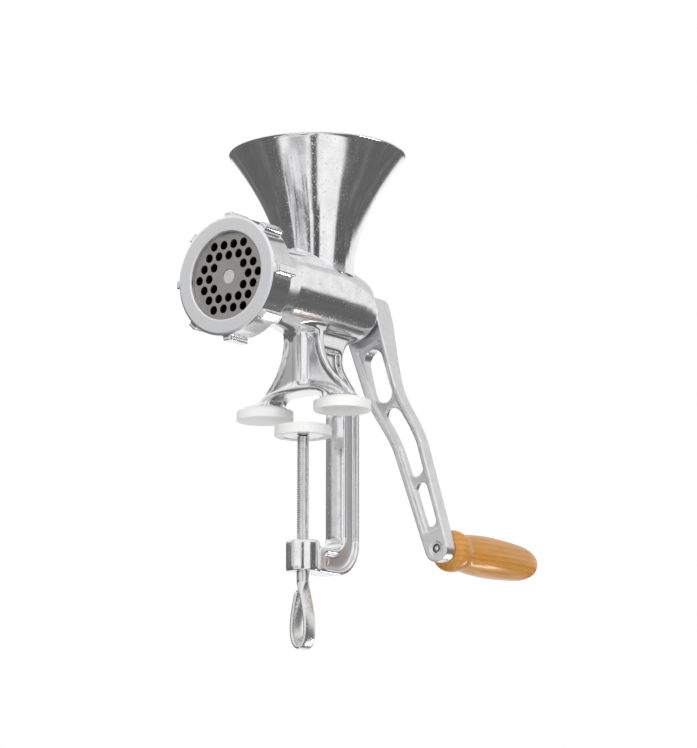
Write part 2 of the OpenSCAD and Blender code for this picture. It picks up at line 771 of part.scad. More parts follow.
module crank_washer() color(zinc_steel) on_axis(crank_back_y) difference() {
    cylinder(r = thumb_d / 2 - 0.6, h = fix_washer_t);
    translate([0, 0, -eps]) cylinder(r = stud_r + run_clear, h = fix_washer_t + 2 * eps);
}

// Thumb screw: a fluted head cast round a steel stud
head_grip = 6;
module thumb_screw_head() color(cast_aluminium) on_axis(thumb_y) difference() {
    flutes = 12;
    flute_r = 1.3;
    edge = 1.2;
    rotate_extrude() polygon([
        [0, 0], [thumb_d / 2 - 2, 0], [thumb_d / 2, 2], [thumb_d / 2, thumb_len - edge],
        [thumb_d / 2 - edge, thumb_len], [0, thumb_len]
    ]);
    for (k = [0:flutes - 1]) rotate(360 / flutes * k)
        translate([thumb_d / 2 + flute_r * 0.4, 0, -eps]) cylinder(r = flute_r, h = thumb_len + 2 * eps);
    translate([0, 0, -eps]) cylinder(r = stud_r, h = head_grip + eps);
}
module thumb_screw_stud() color(zinc_steel) on_axis(square_end_y - stud_depth + 2)
    cylinder(r = stud_r, h = thumb_y + head_grip - square_end_y + stud_depth - 2);

// Teardrop that the eye's flat bar follows, starting at its point under the screw
eye_top_z = clamp_bottom_z - screw_tail;
function eye_x(a) = eye_bend * sin(a) * pow(sin(a / 2), 1.4);
eye_bend = (eye_w - eye_bar_t) / 2 / 0.84;
function eye_z(a) = eye_top_z - (eye_h - eye_bar_t / 2) * (1 - cos(a)) / 2;

// Section of the flat bar across its path, as corners (thickness, width) with the edges broken
module eye() {
    rings = 40;
    last = 318;
    blend = 60;
    start = 14;
    function at(a) = [eye_x(a), eye_z(a)];
    function along(a) = let (d = at(a + 1) - at(a - 1)) d / norm(d);
    function flat(a) = smooth((a - start) / blend);
    function half_t(a) = let (m = flat(a)) screw_r * 0.72 * (1 - m) + eye_bar_t / 2 * m;
    function half_w(a) = let (m = flat(a)) screw_r * 0.72 * (1 - m) + eye_bar_w / 2 * m;
    function section(t, w, e) = [[t, w - e], [t - e, w], [e - t, w], [-t, w - e],
        [-t, e - w], [e - t, -w], [t - e, -w], [t, e - w]];
    function ring(a) = let (d = along(a), n = [-d[1], d[0]], p = at(a), t = half_t(a))
        [for (c = section(t, half_w(a), 0.34 * t)) [p[0] + n[0] * c[0], c[1], p[1] + n[1] * c[0]]];
    points = [for (k = [0:rings]) each ring(start + (last - start) * k / rings)];
    walls = [for (k = [0:rings - 1], j = [0:7]) let (a = 8 * k + j, b = 8 * k + (j + 1) % 8)
        for (f = [[a, b, b + 8], [a, b + 8, a + 8]]) f];
    polyhedron(points, concat(walls, [[for (j = [7:-1:0]) j], [for (j = [0:7]) 8 * rings + j]]));
}

peen_t = 1.0;
module clamp_screw() color(zinc_steel) {
    neck_h = 3.2;
    translate([0, 0, eye_top_z + neck_h * 0.2])
        cylinder(r = screw_r, h = swivel_z - eye_top_z - neck_h * 0.2);
    translate([0, 0, swivel_z - eps]) cylinder(r = tip_r, h = swivel_t + face_gap + eps);
    translate([0, 0, swivel_top_z + face_gap]) cylinder(r = tip_r + 1.3, h = peen_t);
    translate([0, 0, eye_top_z - neck_h]) cylinder(r1 = screw_r * 0.8, r2 = screw_r, h = neck_h * 1.2);
    eye();
}

module swivel_plate() color(zinc_steel) translate([0, 0, swivel_z]) difference() {
    cylinder(r = swivel_r, h = swivel_t);
    translate([0, 0, -eps]) cylinder(r = tip_r + run_clear, h = swivel_t + 2 * eps);
}

// Plastic cap snapped over the swivel plate
module clamp_pad() color(white_plastic) difference() {
    edge = 0.8;
    rotate_extrude() polygon([
        [0, pad_bottom_z], [pad_r - edge, pad_bottom_z], [pad_r, pad_bottom_z + edge],
        [pad_r, pad_top_z - edge], [pad_r - edge, pad_top_z], [0, pad_top_z]
    ]);
    translate([0, 0, pad_bottom_z - eps]) cylinder(r = swivel_r, h = swivel_top_z - pad_bottom_z + eps);
    translate([0, 0, swivel_top_z - eps]) cylinder(r = tip_r + 1.3 + face_gap, h = head_space + eps);
}

grinding_barrel();
hopper();
clamp_stand();
plate_key_pin();
foot_pad_left();
foot_pad_right();
thrust_washer();
auger();
auger_stud();
knife();
crank_arm();
handle_axle();
axle_washer();
handle_grip();
crank_washer();
thumb_screw_head();
thumb_screw_stud();
cutting_plate();
ring_nut();
clamp_screw();
swivel_plate();
clamp_pad();
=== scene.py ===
# %% [markdown]
# # A hand-cranked meat grinder
# A small kitchen grinder: a cast aluminium body with a flared hopper, a perforated
# steel plate held by a ring nut, a crank with a wooden grip, and a screw that clamps
# it to a table edge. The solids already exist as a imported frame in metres. This lesson
# dresses them: it keeps each solid's place and gives it the surface of the real thing.

# %% Load the frame
import math
import bmesh
import bpy
from mathutils import Matrix, Vector


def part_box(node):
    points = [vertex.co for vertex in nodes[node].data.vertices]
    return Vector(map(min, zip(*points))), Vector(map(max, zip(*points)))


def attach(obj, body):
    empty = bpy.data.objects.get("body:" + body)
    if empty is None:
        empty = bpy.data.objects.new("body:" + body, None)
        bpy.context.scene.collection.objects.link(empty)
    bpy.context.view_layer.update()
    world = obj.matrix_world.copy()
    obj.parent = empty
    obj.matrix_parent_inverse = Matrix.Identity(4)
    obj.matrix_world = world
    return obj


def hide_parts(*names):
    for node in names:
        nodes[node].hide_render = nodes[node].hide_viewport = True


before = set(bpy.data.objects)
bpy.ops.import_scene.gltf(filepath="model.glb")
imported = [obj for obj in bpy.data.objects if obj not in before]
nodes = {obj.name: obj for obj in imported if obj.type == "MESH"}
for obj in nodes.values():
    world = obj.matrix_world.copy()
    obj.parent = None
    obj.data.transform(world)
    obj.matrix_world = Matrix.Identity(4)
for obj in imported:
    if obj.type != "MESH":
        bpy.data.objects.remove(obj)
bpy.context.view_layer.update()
MM = 0.001

# %% [markdown]
# ## The camera
# The picture was taken from a little below the table top, which is why the underside of
# the arch and of the pads shows. A long lens keeps the perspective mild. The numbers come
# from matching the pads, the plate and the hopper rim, so the camera is set once and the
# object is never moved to fit it.

# %% Camera
IMAGE_W, IMAGE_H = 697, 748
FOCAL_PX = 2750.0
AZIMUTH, ELEVATION = math.radians(37.65), math.radians(-10.83)
AIM, AIM_PX = Vector((0, 0, 10 * MM)), (303.43, 398.42)
DISTANCE = 1.4865

toward = Vector((math.sin(AZIMUTH) * math.cos(ELEVATION),
                 -math.cos(AZIMUTH) * math.cos(ELEVATION), math.sin(ELEVATION)))
right = Vector((math.cos(AZIMUTH), math.sin(AZIMUTH), 0))
up = toward.cross(right)
offset = (right * (IMAGE_W / 2 - AIM_PX[0]) + up * (AIM_PX[1] - IMAGE_H / 2)) / FOCAL_PX
look = (offset - toward).normalized()

camera_data = bpy.data.cameras.new("camera")
camera_data.sensor_fit = "AUTO"
camera_data.sensor_width = 36.0
camera_data.lens = FOCAL_PX / max(IMAGE_W, IMAGE_H) * camera_data.sensor_width
camera_data.clip_start, camera_data.clip_end = 0.01, 50
camera = bpy.data.objects.new("camera", camera_data)
camera.location = AIM + toward * DISTANCE
camera.rotation_euler = look.to_track_quat("-Z", "Y").to_euler()
bpy.context.collection.objects.link(camera)
scene = bpy.context.scene
scene.camera = camera
scene.view_settings.view_transform = "Standard"
print("lens", round(camera_data.lens, 2), "at", [round(v, 4) for v in camera.location])

# %% [markdown]
# ## Sums on sockets
# Shaders and Geometry Nodes are both graphs, and writing them node by node hides the
# idea behind them. This one class wraps an output socket, so that `1 - mask * 0.5`
# adds the Math nodes by itself. Everything that isn't plain arithmetic goes through
# `node`, which sets a node's settings first and then its sockets.

# %% One class for both kinds of tree
class Wire:
    def __init__(self, tree, out=None):
        self.tree, self.out = tree, out

    def node(self, kind, settings=None, sockets=None, out=0):
        made = self.tree.nodes.new(kind)
        for key, value in (settings or {}).items():
            if key == "stops":
                set_stops(made.color_ramp, value)
            else:
                setattr(made, key, value)
        for key, value in (sockets or {}).items():
            if isinstance(value, Wire):
                self.tree.links.new(value.out, made.inputs[key])
            else:
                made.inputs[key].default_value = value
        return Wire(self.tree, made.outputs[out]) if len(made.outputs) else made

    def math(self, operation, *terms):
        return self.node("ShaderNodeMath", {"operation": operation}, dict(enumerate(terms)))

    def vector(self, operation, *terms, out=0):
        return self.node("ShaderNodeVectorMath", {"operation": operation}, dict(enumerate(terms)), out)

    def mix(self, factor, first, second):
        return self.node("ShaderNodeMix", {"data_type": "RGBA"}, {0: factor, 6: first, 7: second}, 2)

    def ease(self, low, high):
        return self.node("ShaderNodeMapRange", {"interpolation_type": "SMOOTHSTEP"},
                         {"Value": self, "From Min": low, "From Max": high})

    def __add__(self, other): return self.math("ADD", self, other)
    def __radd__(self, other): return self.math("ADD", other, self)
    def __sub__(self, other): return self.math("SUBTRACT", self, other)
    def __rsub__(self, other): return self.math("SUBTRACT", other, self)
    def __mul__(self, other): return self.math("MULTIPLY", self, other)
    def __rmul__(self, other): return self.math("MULTIPLY", other, self)
    def __truediv__(self, other): return self.math("DIVIDE", self, other)
    def __rtruediv__(self, other): return self.math("DIVIDE", other, self)
    def __pow__(self, other): return self.math("POWER", self, other)
    def __abs__(self): return self.math("ABSOLUTE", self)


def set_stops(ramp, stops):
    while len(ramp.elements) > 1:
        ramp.elements.remove(ramp.elements[-1])
    for i, (place, colour) in enumerate(stops):
        element = ramp.elements[0] if i == 0 else ramp.elements.new(place)
        element.position, element.color = place, colour

# %% [markdown]
# ## The studio
# Bare metal has hardly any colour of its own: it shows the room. Here the room is a white
# tent with a few dark gaps in it, and those gaps are the dark bands on the hopper and
# along the barrel. The world draws them by direction, in degrees to the right of the
# camera's place and above the horizon, with soft edges, and a slow noise stands for the
# folds of the cloth. The camera itself sees plain white.

# %% White tent with dark gaps
GAPS = [
    # right from, right to, up from, up to, brightness, softness
    (52, 100, -40, 15, 0.13, 4),
    (96, 112, -40, 6, 0.12, 4),
    (52, 148, -84, -12, 0.14, 5),
    (140, 166, -24, -5, 0.15, 4),
    (108, 158, -16, 0, 0.14, 5),
    (100, 190, 18, 60, 0.70, 8),
    (-166, -68, -84, 4, 0.14, 4),
    (-166, -81, 0, 13, 0.14, 6),
    (-84, -60, 6, 40, 0.62, 5),
    (-50, -24, -75, -25, 0.52, 5),
    (-64, -34, -25, 2, 0.55, 5),
    (-13, 0, -86, -28, 0.10, 2),
    (-10, 7, -32, 13, 0.10, 2),
]
world = bpy.data.worlds.new("studio")
world.use_nodes = True
world.node_tree.nodes.clear()
sky = Wire(world.node_tree)
ray = sky.node("ShaderNodeTexCoord", out="Generated")
ahead = sky.vector("DOT_PRODUCT", ray, (math.sin(AZIMUTH), -math.cos(AZIMUTH), 0), out=1)
aside = sky.vector("DOT_PRODUCT", ray, (math.cos(AZIMUTH), math.sin(AZIMUTH), 0), out=1)
lift = sky.vector("DOT_PRODUCT", ray, (0, 0, 1), out=1)
turn = sky.math("ARCTAN2", aside, ahead) * math.degrees(1)
rise = sky.math("ARCSINE", lift) * math.degrees(1)

level = 1.0
for left, far, low, high, shade, soft in GAPS:
    gap = (turn.ease(left - soft, left + soft) * (1 - turn.ease(far - soft, far + soft))
           * rise.ease(low - soft, low + soft) * (1 - rise.ease(high - soft, high + soft)))
    level = level + gap * (shade - level)
folds = sky.node("ShaderNodeTexNoise", sockets={"Vector": ray, "Scale": 5.0, "Detail": 3.0})
level = level * (0.86 + 0.2 * folds) + folds.ease(0.45, 0.75) * 0.06
WHITE = (1, 1, 1, 1)
tent = sky.node("ShaderNodeBackground", sockets={"Color": WHITE, "Strength": level})
white = sky.node("ShaderNodeBackground", sockets={"Color": WHITE, "Strength": 1.0})
seen = sky.node("ShaderNodeLightPath", out="Is Camera Ray")
both = sky.node("ShaderNodeMixShader", sockets={0: seen, 1: tent, 2: white})
sky.node("ShaderNodeOutputWorld", sockets={"Surface": both})
scene.world = world
print("gaps in the tent:", len(GAPS))

# %% [markdown]
# Three large soft lamps give the wood and the plastic their form. They are hidden from
# reflections, so that the metal shows only the tent. One small panel does the opposite:
# it stands near the grip, and is the gleam on its lacquer.

# %% Lamps
def lamp(name, place, size, power, aim=(0, 0, 0)):
    data = bpy.data.lights.new(name, "AREA")
    data.shape, data.size, data.energy = "DISK", size, power
    made = bpy.data.objects.new(name, data)
    made.location = place
    made.rotation_euler = (Vector(aim) - Vector(place)).to_track_quat("-Z", "Y").to_euler()
    made.visible_glossy = False
    bpy.context.collection.objects.link(made)
    return made


lamp("key_lamp", toward * 1.1 - right * 0.9 + Vector((0, 0, 1.5)), size=1.2, power=12)
lamp("fill_lamp", toward * 1.0 + right * 1.3 + Vector((0, 0, 0.2)), size=1.4, power=5)
lamp("low_lamp", toward * 0.9 - right * 0.2 + Vector((0, 0, -0.9)), size=1.2, power=4)
GLEAM_AT, GLEAM_ON, GLEAM_W, GLEAM_H = (0.12, 0.27, -0.246), (0.052, 0.10, -0.076), 0.036, 0.14
gleam = lamp("grip_gleam", GLEAM_AT, size=GLEAM_W, power=0.15, aim=GLEAM_ON)
gleam.data.shape, gleam.data.size_y = "RECTANGLE", GLEAM_H
gleam.visible_glossy, gleam.visible_camera = True, False
print("lamps:", [light.name for light in bpy.data.lights])

# %% [markdown]
# The floor is a pale disc that catches the shadow and fades into the white. It takes no
# part in the lighting, and seen from below it is clear.

# %% Floor
FLOOR_Z, FLOOR_R, FADE_FROM, FADE_TO = -0.30, 2.2, 0.45, 1.98
floor_mesh = bpy.data.meshes.new("floor")
disc = bmesh.new()
bmesh.ops.create_circle(disc, cap_ends=True, segments=96, radius=FLOOR_R)
bmesh.ops.translate(disc, verts=disc.verts, vec=(0, 0, FLOOR_Z))
disc.to_mesh(floor_mesh)
disc.free()
floor = bpy.data.objects.new("floor", floor_mesh)
bpy.context.collection.objects.link(floor)
pale = bpy.data.materials.new("pale_floor")
pale.use_nodes = True
pale.node_tree.nodes.clear()
paint = Wire(pale.node_tree)
away = paint.vector("LENGTH", paint.node("ShaderNodeTexCoord", out="Object"), out=1)
cloth = paint.node("ShaderNodeBsdfDiffuse", sockets={"Color": (0.93, 0.93, 0.93, 1)})
clear = paint.node("ShaderNodeBsdfTransparent")
under = paint.node("ShaderNodeNewGeometry", out="Backfacing")
fade = paint.math("MAXIMUM", away.ease(FADE_FROM, FADE_TO), under)
paint.node("ShaderNodeOutputMaterial",
           sockets={"Surface": paint.node("ShaderNodeMixShader", sockets={0: fade, 1: cloth, 2: clear})})
floor_mesh.materials.append(pale)
floor.visible_glossy = floor.visible_diffuse = floor.visible_shadow = False
print("floor at z", FLOOR_Z, "radius", FLOOR_R)

# %% [markdown]
# ## Metal finishes
# All the bright metal here is one idea with different numbers. A slow noise makes the
# surface faintly wavy, which breaks up the reflections as hand polishing does. A fine
# noise is the grain of the casting. Long thin streaks are the scratches of use, and small
# specks are pits. Colour hardly changes; roughness and bump do the work.

# %% Helpers for shaders
def surface(name):
    made = bpy.data.materials.new(name)
    made.use_nodes = True
    made.node_tree.nodes.clear()
    wire = Wire(made.node_tree)
    return made, wire, wire.node("ShaderNodeTexCoord", out="Object")


def noise(wire, place, scale, detail=2.0, squash=None):
    if squash:
        place = wire.node("ShaderNodeMapping", sockets={"Vector": place, "Scale": squash})
    return wire.node("ShaderNodeTexNoise", sockets={"Vector": place, "Scale": scale, "Detail": detail})


def finish_surface(wire, sockets, heights):
    normal = None
    for height, depth in heights:
        links = {"Height": height, "Distance": depth, "Strength": 1.0}
        if normal:
            links["Normal"] = normal
        normal = wire.node("ShaderNodeBump", sockets=links)
    shader = wire.node("ShaderNodeBsdfPrincipled", sockets={**sockets, "Normal": normal})
    wire.node("ShaderNodeOutputMaterial", sockets={"Surface": shader})


def split(wire, vector):
    parts = wire.node("ShaderNodeSeparateXYZ", sockets={0: vector}).out.node.outputs
    return [Wire(wire.tree, part) for part in parts]

# %% A metal with waves, grain, scratches and pits
def metal(name, tone, rough, wave=0.06, grain=0.004, scratch=0.5, pits=0.3, along=(1, 14, 14), patches=()):
    """Waves and grain are heights in mm. Each patch is a mask with its own tone and roughness."""
    made, wire, place = surface(name)
    slow = noise(wire, place, 55)
    cloud = noise(wire, place, 160, 4)
    fine = noise(wire, place, 1500, 3)
    streak = noise(wire, place, 110, 3, along).ease(0.60, 0.70)
    other = noise(wire, place, 120, 3, (along[1], along[0], along[2])).ease(0.64, 0.74)
    worn = wire.math("MAXIMUM", streak, other) * scratch
    speck = noise(wire, place, 620, 1).ease(0.695, 0.75) * pits
    dark = tuple(0.80 * c for c in tone) + (1,)
    base = wire.mix(cloud.ease(0.3, 0.75) * 0.5 + speck * 0.5, tone + (1,), dark)
    roughness = rough + (cloud - 0.5) * 0.12 + worn * 0.26 + speck * 0.4
    for covers, patch_tone, patch_rough in patches:
        mask = covers(wire, place)
        base = wire.mix(mask, base, patch_tone + (1,))
        roughness = roughness + mask * (patch_rough - roughness)
    finish_surface(wire, {"Base Color": base, "Metallic": 1.0, "Roughness": roughness},
                   [(slow, wave * MM), (fine - worn * 0.6, grain * MM), (1 - speck, 0.06 * MM)])
    return made


polished = metal("polished_aluminium", (0.91, 0.91, 0.92), 0.10, wave=0.16, scratch=0.9, pits=0.5,
                 along=(14, 14, 1.2))
zinc = metal("zinc_plate", (0.86, 0.87, 0.86), 0.26, wave=0.04, grain=0.003, scratch=0.3)
bright = metal("bright_steel", (0.86, 0.85, 0.83), 0.20, wave=0.02, grain=0.003)
# The knife's steel: dark oiled steel, painted near black as well, as the shade in the cavity behind the plate's
# holes.
oiled_and_shaded = metal("oiled_steel_and_painted_shade", (0.05, 0.047, 0.045), 0.5, wave=0.02, grain=0.004)
satin = metal("satin_aluminium", (0.80, 0.80, 0.81), 0.34, wave=0.05, grain=0.006, scratch=0.3)
print("even metals:", [m.name for m in (polished, zinc, bright, oiled_and_shaded, satin)])

# %% [markdown]
# Three pieces carry more than one finish, and two of them carry painted shade. The body is
# tumbled bright outside, duller on the stand, rough where a mould recess was never polished
# and painted darker there as shade, and painted dark inside the barrel as shade. The ring
# is polished round its side and satin on its face. The plate is ground on its face and
# painted near black down in its holes as shade. Each patch is a mask made from the place
# or the facing of a point. Behind the mouth the barrel narrows as a cone to the bore.

# %% Masks by place and facing
AXIS_Z, RING_Y, PLATE_Y = 65.4, -67.5, -64.9
CHAMBER_R, CHAMBER_Y, CHAMBER_SLOPE = 24.4, -51.4, 0.733
# Where the painted shade inside the barrel reaches: from behind the mouth, within the bore's radius, to its rear
# end.
SHADE_FROM, SHADE_R, SHADE_TO = -60.5, 13.5, 41.0


# Painted shade: the chamber behind the mouth and the bore are painted dark, as the shade inside the barrel.
def shade_inside_barrel(wire, place):
    x, y, z = split(wire, place)
    reach = wire.math("SQRT", x ** 2 + (z - AXIS_Z * MM) ** 2)
    cone = CHAMBER_R * MM - wire.math("MAXIMUM", y - CHAMBER_Y * MM, 0.0) * CHAMBER_SLOPE
    behind_mouth = y.ease((SHADE_FROM - 0.5) * MM, (SHADE_FROM + 0.5) * MM)
    before_rear = 1 - y.ease((SHADE_TO - 1) * MM, (SHADE_TO + 1) * MM)
    chamber = (1 - (reach - cone).ease(-0.2 * MM, 0.3 * MM)) * behind_mouth
    bore = (1 - reach.ease((SHADE_R - 0.3) * MM, (SHADE_R + 0.3) * MM)) * before_rear
    return wire.math("MAXIMUM", chamber, bore)


def on_stand(wire, place):
    z = split(wire, place)[2]
    return z.ease(2 * MM, 10 * MM) * (1 - z.ease(40 * MM, 52 * MM))


# Recess floors: rougher, as they were never polished, and darker as painted shade.
def recess_rough_and_shaded(wire, place):
    x, _, z = split(wire, place)
    facing = split(wire, wire.node("ShaderNodeTexCoord", out="Normal"))[0]
    between_rims = 1 - abs(x).ease(5.2 * MM, 5.9 * MM)
    return abs(facing).ease(0.7, 0.9) * between_rims * (1 - z.ease(15 * MM, 25 * MM))


def on_face(front, depth):
    return lambda wire, place: 1 - split(wire, place)[1].ease((front + depth * 0.4) * MM, (front + depth) * MM)


# Painted shade: the walls of the plate's holes are painted near black.
def shade_down_holes(wire, place):
    return split(wire, place)[1].ease((PLATE_Y + 0.5) * MM, (PLATE_Y + 1.6) * MM)

# %% Metals with more than one finish, some with painted shade
tumbled = metal("tumbled_aluminium", (0.90, 0.90, 0.91), 0.15, wave=0.13, grain=0.003, pits=0.5, patches=[
    (on_stand, (0.87, 0.87, 0.88), 0.19),
    # painted shade inside the barrel
    (shade_inside_barrel, (0.16, 0.155, 0.15), 0.5),
    # rougher recess, its darker tone painted shade
    (recess_rough_and_shaded, (0.60, 0.60, 0.61), 0.38)])
sandy = metal("sandy_aluminium", (0.89, 0.89, 0.90), 0.30, wave=0.10, grain=0.004, pits=0.4)
turned_ring = metal("ring_aluminium", (0.90, 0.90, 0.91), 0.15, wave=0.10, grain=0.002, patches=[
    (on_face(RING_Y, 1.0), (0.89, 0.895, 0.91), 0.33)])
ground = metal("ground_steel", (0.44, 0.43, 0.42), 0.34, wave=0.02, grain=0.006, scratch=0.8, along=(1, 30, 30),
               # the near-black hole walls are painted shade
               patches=[(shade_down_holes, (0.03, 0.028, 0.026), 0.5)])
print("cast and ground metals:", [m.name for m in (tumbled, sandy, turned_ring, ground)])

# %% [markdown]
# ## Plastic and wood
# The pads are soft white plastic that lets a little light in, with a faint orange-peel
# skin. The grip is turned from a pale hardwood and lacquered: rings round a centre that
# lies off the grip's own axis, fibres stretched along it, short dark pores, and a clear
# coat on top. The pattern is solid, so it runs through the grip as it does in real wood.

# %% White plastic
plastic, wire, place = surface("white_plastic")
mottle = noise(wire, place, 60, 2)
peel = noise(wire, place, 700, 2)
finish_surface(wire, {
    "Base Color": wire.mix(mottle.ease(0.3, 0.7), (0.94, 0.94, 0.93, 1), (0.90, 0.90, 0.885, 1)),
    "Roughness": 0.36 + (peel - 0.5) * 0.2, "Subsurface Weight": 0.25,
    "Subsurface Radius": (1, 1, 1), "Subsurface Scale": 2 * MM,
}, [(peel, 0.008 * MM)])
print("plastic nodes:", len(plastic.node_tree.nodes))

# %% Lacquered wood
grip_low, grip_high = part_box("handle_grip")
GRIP_X, GRIP_Z = [(grip_low[k] + grip_high[k]) / 2 for k in (0, 2)]
HEART_X, HEART_Z, RINGS_PER_M = 9, -14, 330
wood, wire, place = surface("lacquered_wood")
local = wire.node("ShaderNodeMapping", {"vector_type": "POINT"},
                  {"Vector": place, "Location": (-GRIP_X - HEART_X * MM, 0, -GRIP_Z - HEART_Z * MM)})
bend = noise(wire, local, 26, 2, (1, 0.35, 1))
fibre = noise(wire, local, 900, 3, (1, 0.03, 1))
pore = noise(wire, local, 1300, 2, (1, 0.045, 1)).ease(0.62, 0.70)
flat = wire.vector("LENGTH", wire.vector("MULTIPLY", local, (1, 0, 1)), out=1)
growth = wire.math("FRACT", flat * RINGS_PER_M + bend * 2.2)
late = growth.ease(0.15, 0.95) * (1 - growth.ease(0.95, 1.0))
tone = wire.node("ShaderNodeValToRGB", {"stops": [
    (0.0, (0.64, 0.31, 0.066, 1)), (0.5, (0.57, 0.245, 0.040, 1)), (1.0, (0.44, 0.165, 0.024, 1))]},
    {"Fac": late * 0.45 + (fibre - 0.3) * 0.55})
finish_surface(wire, {
    "Base Color": wire.mix(pore * 0.4, tone, (0.27, 0.10, 0.022, 1)),
    "Roughness": 0.34 + (fibre - 0.5) * 0.2,
    "Specular IOR Level": 0.2,
    "Coat Weight": 0.5 + (bend - 0.5) * 0.2, "Coat Roughness": 0.16, "Coat IOR": 1.5,
}, [(fibre - pore, 0.012 * MM)])
print("grip axis at x", round(GRIP_X / MM, 2), "z", round(GRIP_Z / MM, 2))

# %% [markdown]
# ## Making pieces
# A few small helpers. `unit` holds a share between 0 and 1. `piece` puts a mesh in the
# scene. `bake` runs the modifiers once and keeps the result as a plain mesh with outward
# faces. `merged` copies solids and welds them, because a imported mesh is loose triangles.
# `dress` says which body a piece rides on and hides the solids it stands for.

# %% Helpers for pieces
def unit(t):
    return min(1.0, max(0.0, t))


def piece(name, mesh):
    made = bpy.data.objects.new(name, mesh)
    bpy.context.collection.objects.link(made)
    return made


def one_finish(mesh):
    """Remeshing and joining lose the slot numbers, so the piece's one material goes back on every face."""
    finish = [m for m in mesh.materials if m][-1]
    mesh.materials.clear()
    mesh.materials.append(finish)
    mesh.polygons.foreach_set("material_index", [0] * len(mesh.polygons))

# %% Baking, welding and dressing
def bake(obj, crease=35, place=None):
    graph = bpy.context.evaluated_depsgraph_get()
    mesh = bpy.data.meshes.new_from_object(obj.evaluated_get(graph), depsgraph=graph)
    obj.modifiers.clear()
    obj.data = mesh
    work = bmesh.new()
    work.from_mesh(mesh)
    bmesh.ops.remove_doubles(work, verts=work.verts, dist=1e-6)
    bmesh.ops.dissolve_degenerate(work, edges=work.edges, dist=1e-7)
    if place:
        bmesh.ops.transform(work, matrix=place, verts=work.verts)
    bmesh.ops.recalc_face_normals(work, faces=work.faces)
    work.to_mesh(mesh)
    loose = sum(1 for e in work.edges if len(e.link_faces) != 2)
    work.free()
    one_finish(mesh)
    mesh.shade_smooth()
    mesh.set_sharp_from_angle(angle=math.radians(crease))
    print(obj.name, "faces", len(mesh.polygons), "open edges", loose)
    return obj


def merged(*names):
    work = bmesh.new()
    for name in names:
        work.from_mesh(nodes[name].data)
    bmesh.ops.remove_doubles(work, verts=work.verts, dist=2e-6)
    work.faces.ensure_lookup_table()
    return work


def dress(obj, body, slot, *stands_for):
    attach(obj, body)
    if stands_for:
        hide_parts(*stands_for)

# %% [markdown]
# ## The casting
# Barrel, stand and clamp bar are one casting on the real grinder, so every inside corner
# is a soft fillet and no edge is sharp. The quickest honest way to that look is to join
# the solids, rebuild them on a fine voxel grid and relax the result: the corners round
# themselves. The foot of the hopper goes in too, so that its crease with the shoulder
# gets the same fillet; the cut is capped as a ring, so the throat stays open.

# %% Soft-cornered casting
CUT_Z = 95 * MM
foot = merged("hopper")
cut = bmesh.ops.bisect_plane(foot, geom=foot.verts[:] + foot.edges[:] + foot.faces[:], dist=1e-7,
                             plane_co=(0, 0, CUT_Z), plane_no=(0, 0, 1), clear_outer=True)
loop = [e for e in cut["geom_cut"] if isinstance(e, bmesh.types.BMEdge)]
bmesh.ops.triangle_fill(foot, edges=loop, use_beauty=True)
shell = bpy.data.meshes.new("body_casting")
foot.to_mesh(shell)
foot.free()
work = merged("grinding_barrel", "clamp_stand")
work.from_mesh(shell)
print("solids joined:", len(work.faces), "faces")

# %% [markdown]
# The barrel is a plain round tube below. Above, where the hopper stands on it, it swells to
# a higher shoulder that tapers to the rear, and at the front it opens to the width of the
# ring. A short table gives its section along Y. From it comes a belly, a crescent lofted
# under the bore, which is fused with the solids; afterwards whatever still stands outside
# the table's section is drawn in to it, except the neck of the hopper and the stand.

# %% Belly of the housing
HOUSING = [
    # y, radius of the shoulder, half width, depth of the belly
    (-50, 25.0, 25.0, 25.0), (-40, 23.6, 23.0, 23.8), (-30, 23.2, 20.9, 21.0),
    (12, 23.2, 20.4, 19.2), (32, 20.8, 19.6, 19.0), (38, 19.5, 19.2, 19.0),
    (43.5, 18.6, 18.6, 18.6), (45, 17.6, 17.6, 17.6), (46, 16.2, 16.2, 16.2)]
HOUSING_Z = 65.7
HOLLOW_R, HOLLOW_LEAST, HALF_TURN = 25.2, 14.5, 24


def housing_r(y, angle):
    """Reach of the housing's skin at y, in the direction of the angle above +X."""
    for (y0, *one), (y1, *two) in zip(HOUSING, HOUSING[1:]):
        t = unit((y - y0) / (y1 - y0))
        top, wide, deep = [a + (b - a) * t for a, b in zip(one, two)]
        if y <= y1:
            break
    across, lift = abs(math.cos(angle)), math.sin(angle)
    if lift >= 0:
        return min(top, wide / max(across, 0.01))
    return 1 / math.hypot(across / wide, lift / deep)


def belly_ring(y):
    angles = [-math.pi * k / HALF_TURN for k in range(HALF_TURN + 1)]
    hollow = max(HOLLOW_LEAST, HOLLOW_R - (y - CHAMBER_Y) * CHAMBER_SLOPE)
    reach = [(housing_r(y, a), a) for a in angles] + [(hollow, a) for a in reversed(angles)]
    return [work.verts.new((r * math.cos(a) * MM, y * MM, (HOUSING_Z + r * math.sin(a)) * MM)) for r, a in reach]


def loft(mesh, loops):
    """A closed skin over a row of rings that have equally many points."""
    skin = []
    for one, two in zip(loops, loops[1:]):
        for j in range(len(one)):
            k = (j + 1) % len(one)
            skin.append(mesh.faces.new((one[j], one[k], two[k], two[j])))
    skin += [mesh.faces.new(loops[0][::-1]), mesh.faces.new(loops[-1])]
    bmesh.ops.recalc_face_normals(mesh, faces=skin)
    return len(skin)


print("belly faces:", loft(work, [belly_ring(y) for y in range(HOUSING[0][0], HOUSING[-1][0] + 1)]))
work.to_mesh(shell)
work.free()

# %% Fuse, draw in and relax
def soften(obj, voxel, rounds, factor=0.5):
    grid = obj.modifiers.new("voxels", "REMESH")
    grid.mode, grid.voxel_size, grid.use_smooth_shade = "VOXEL", voxel * MM, True
    relax = obj.modifiers.new("relax", "SMOOTH")
    relax.factor, relax.iterations = factor, rounds


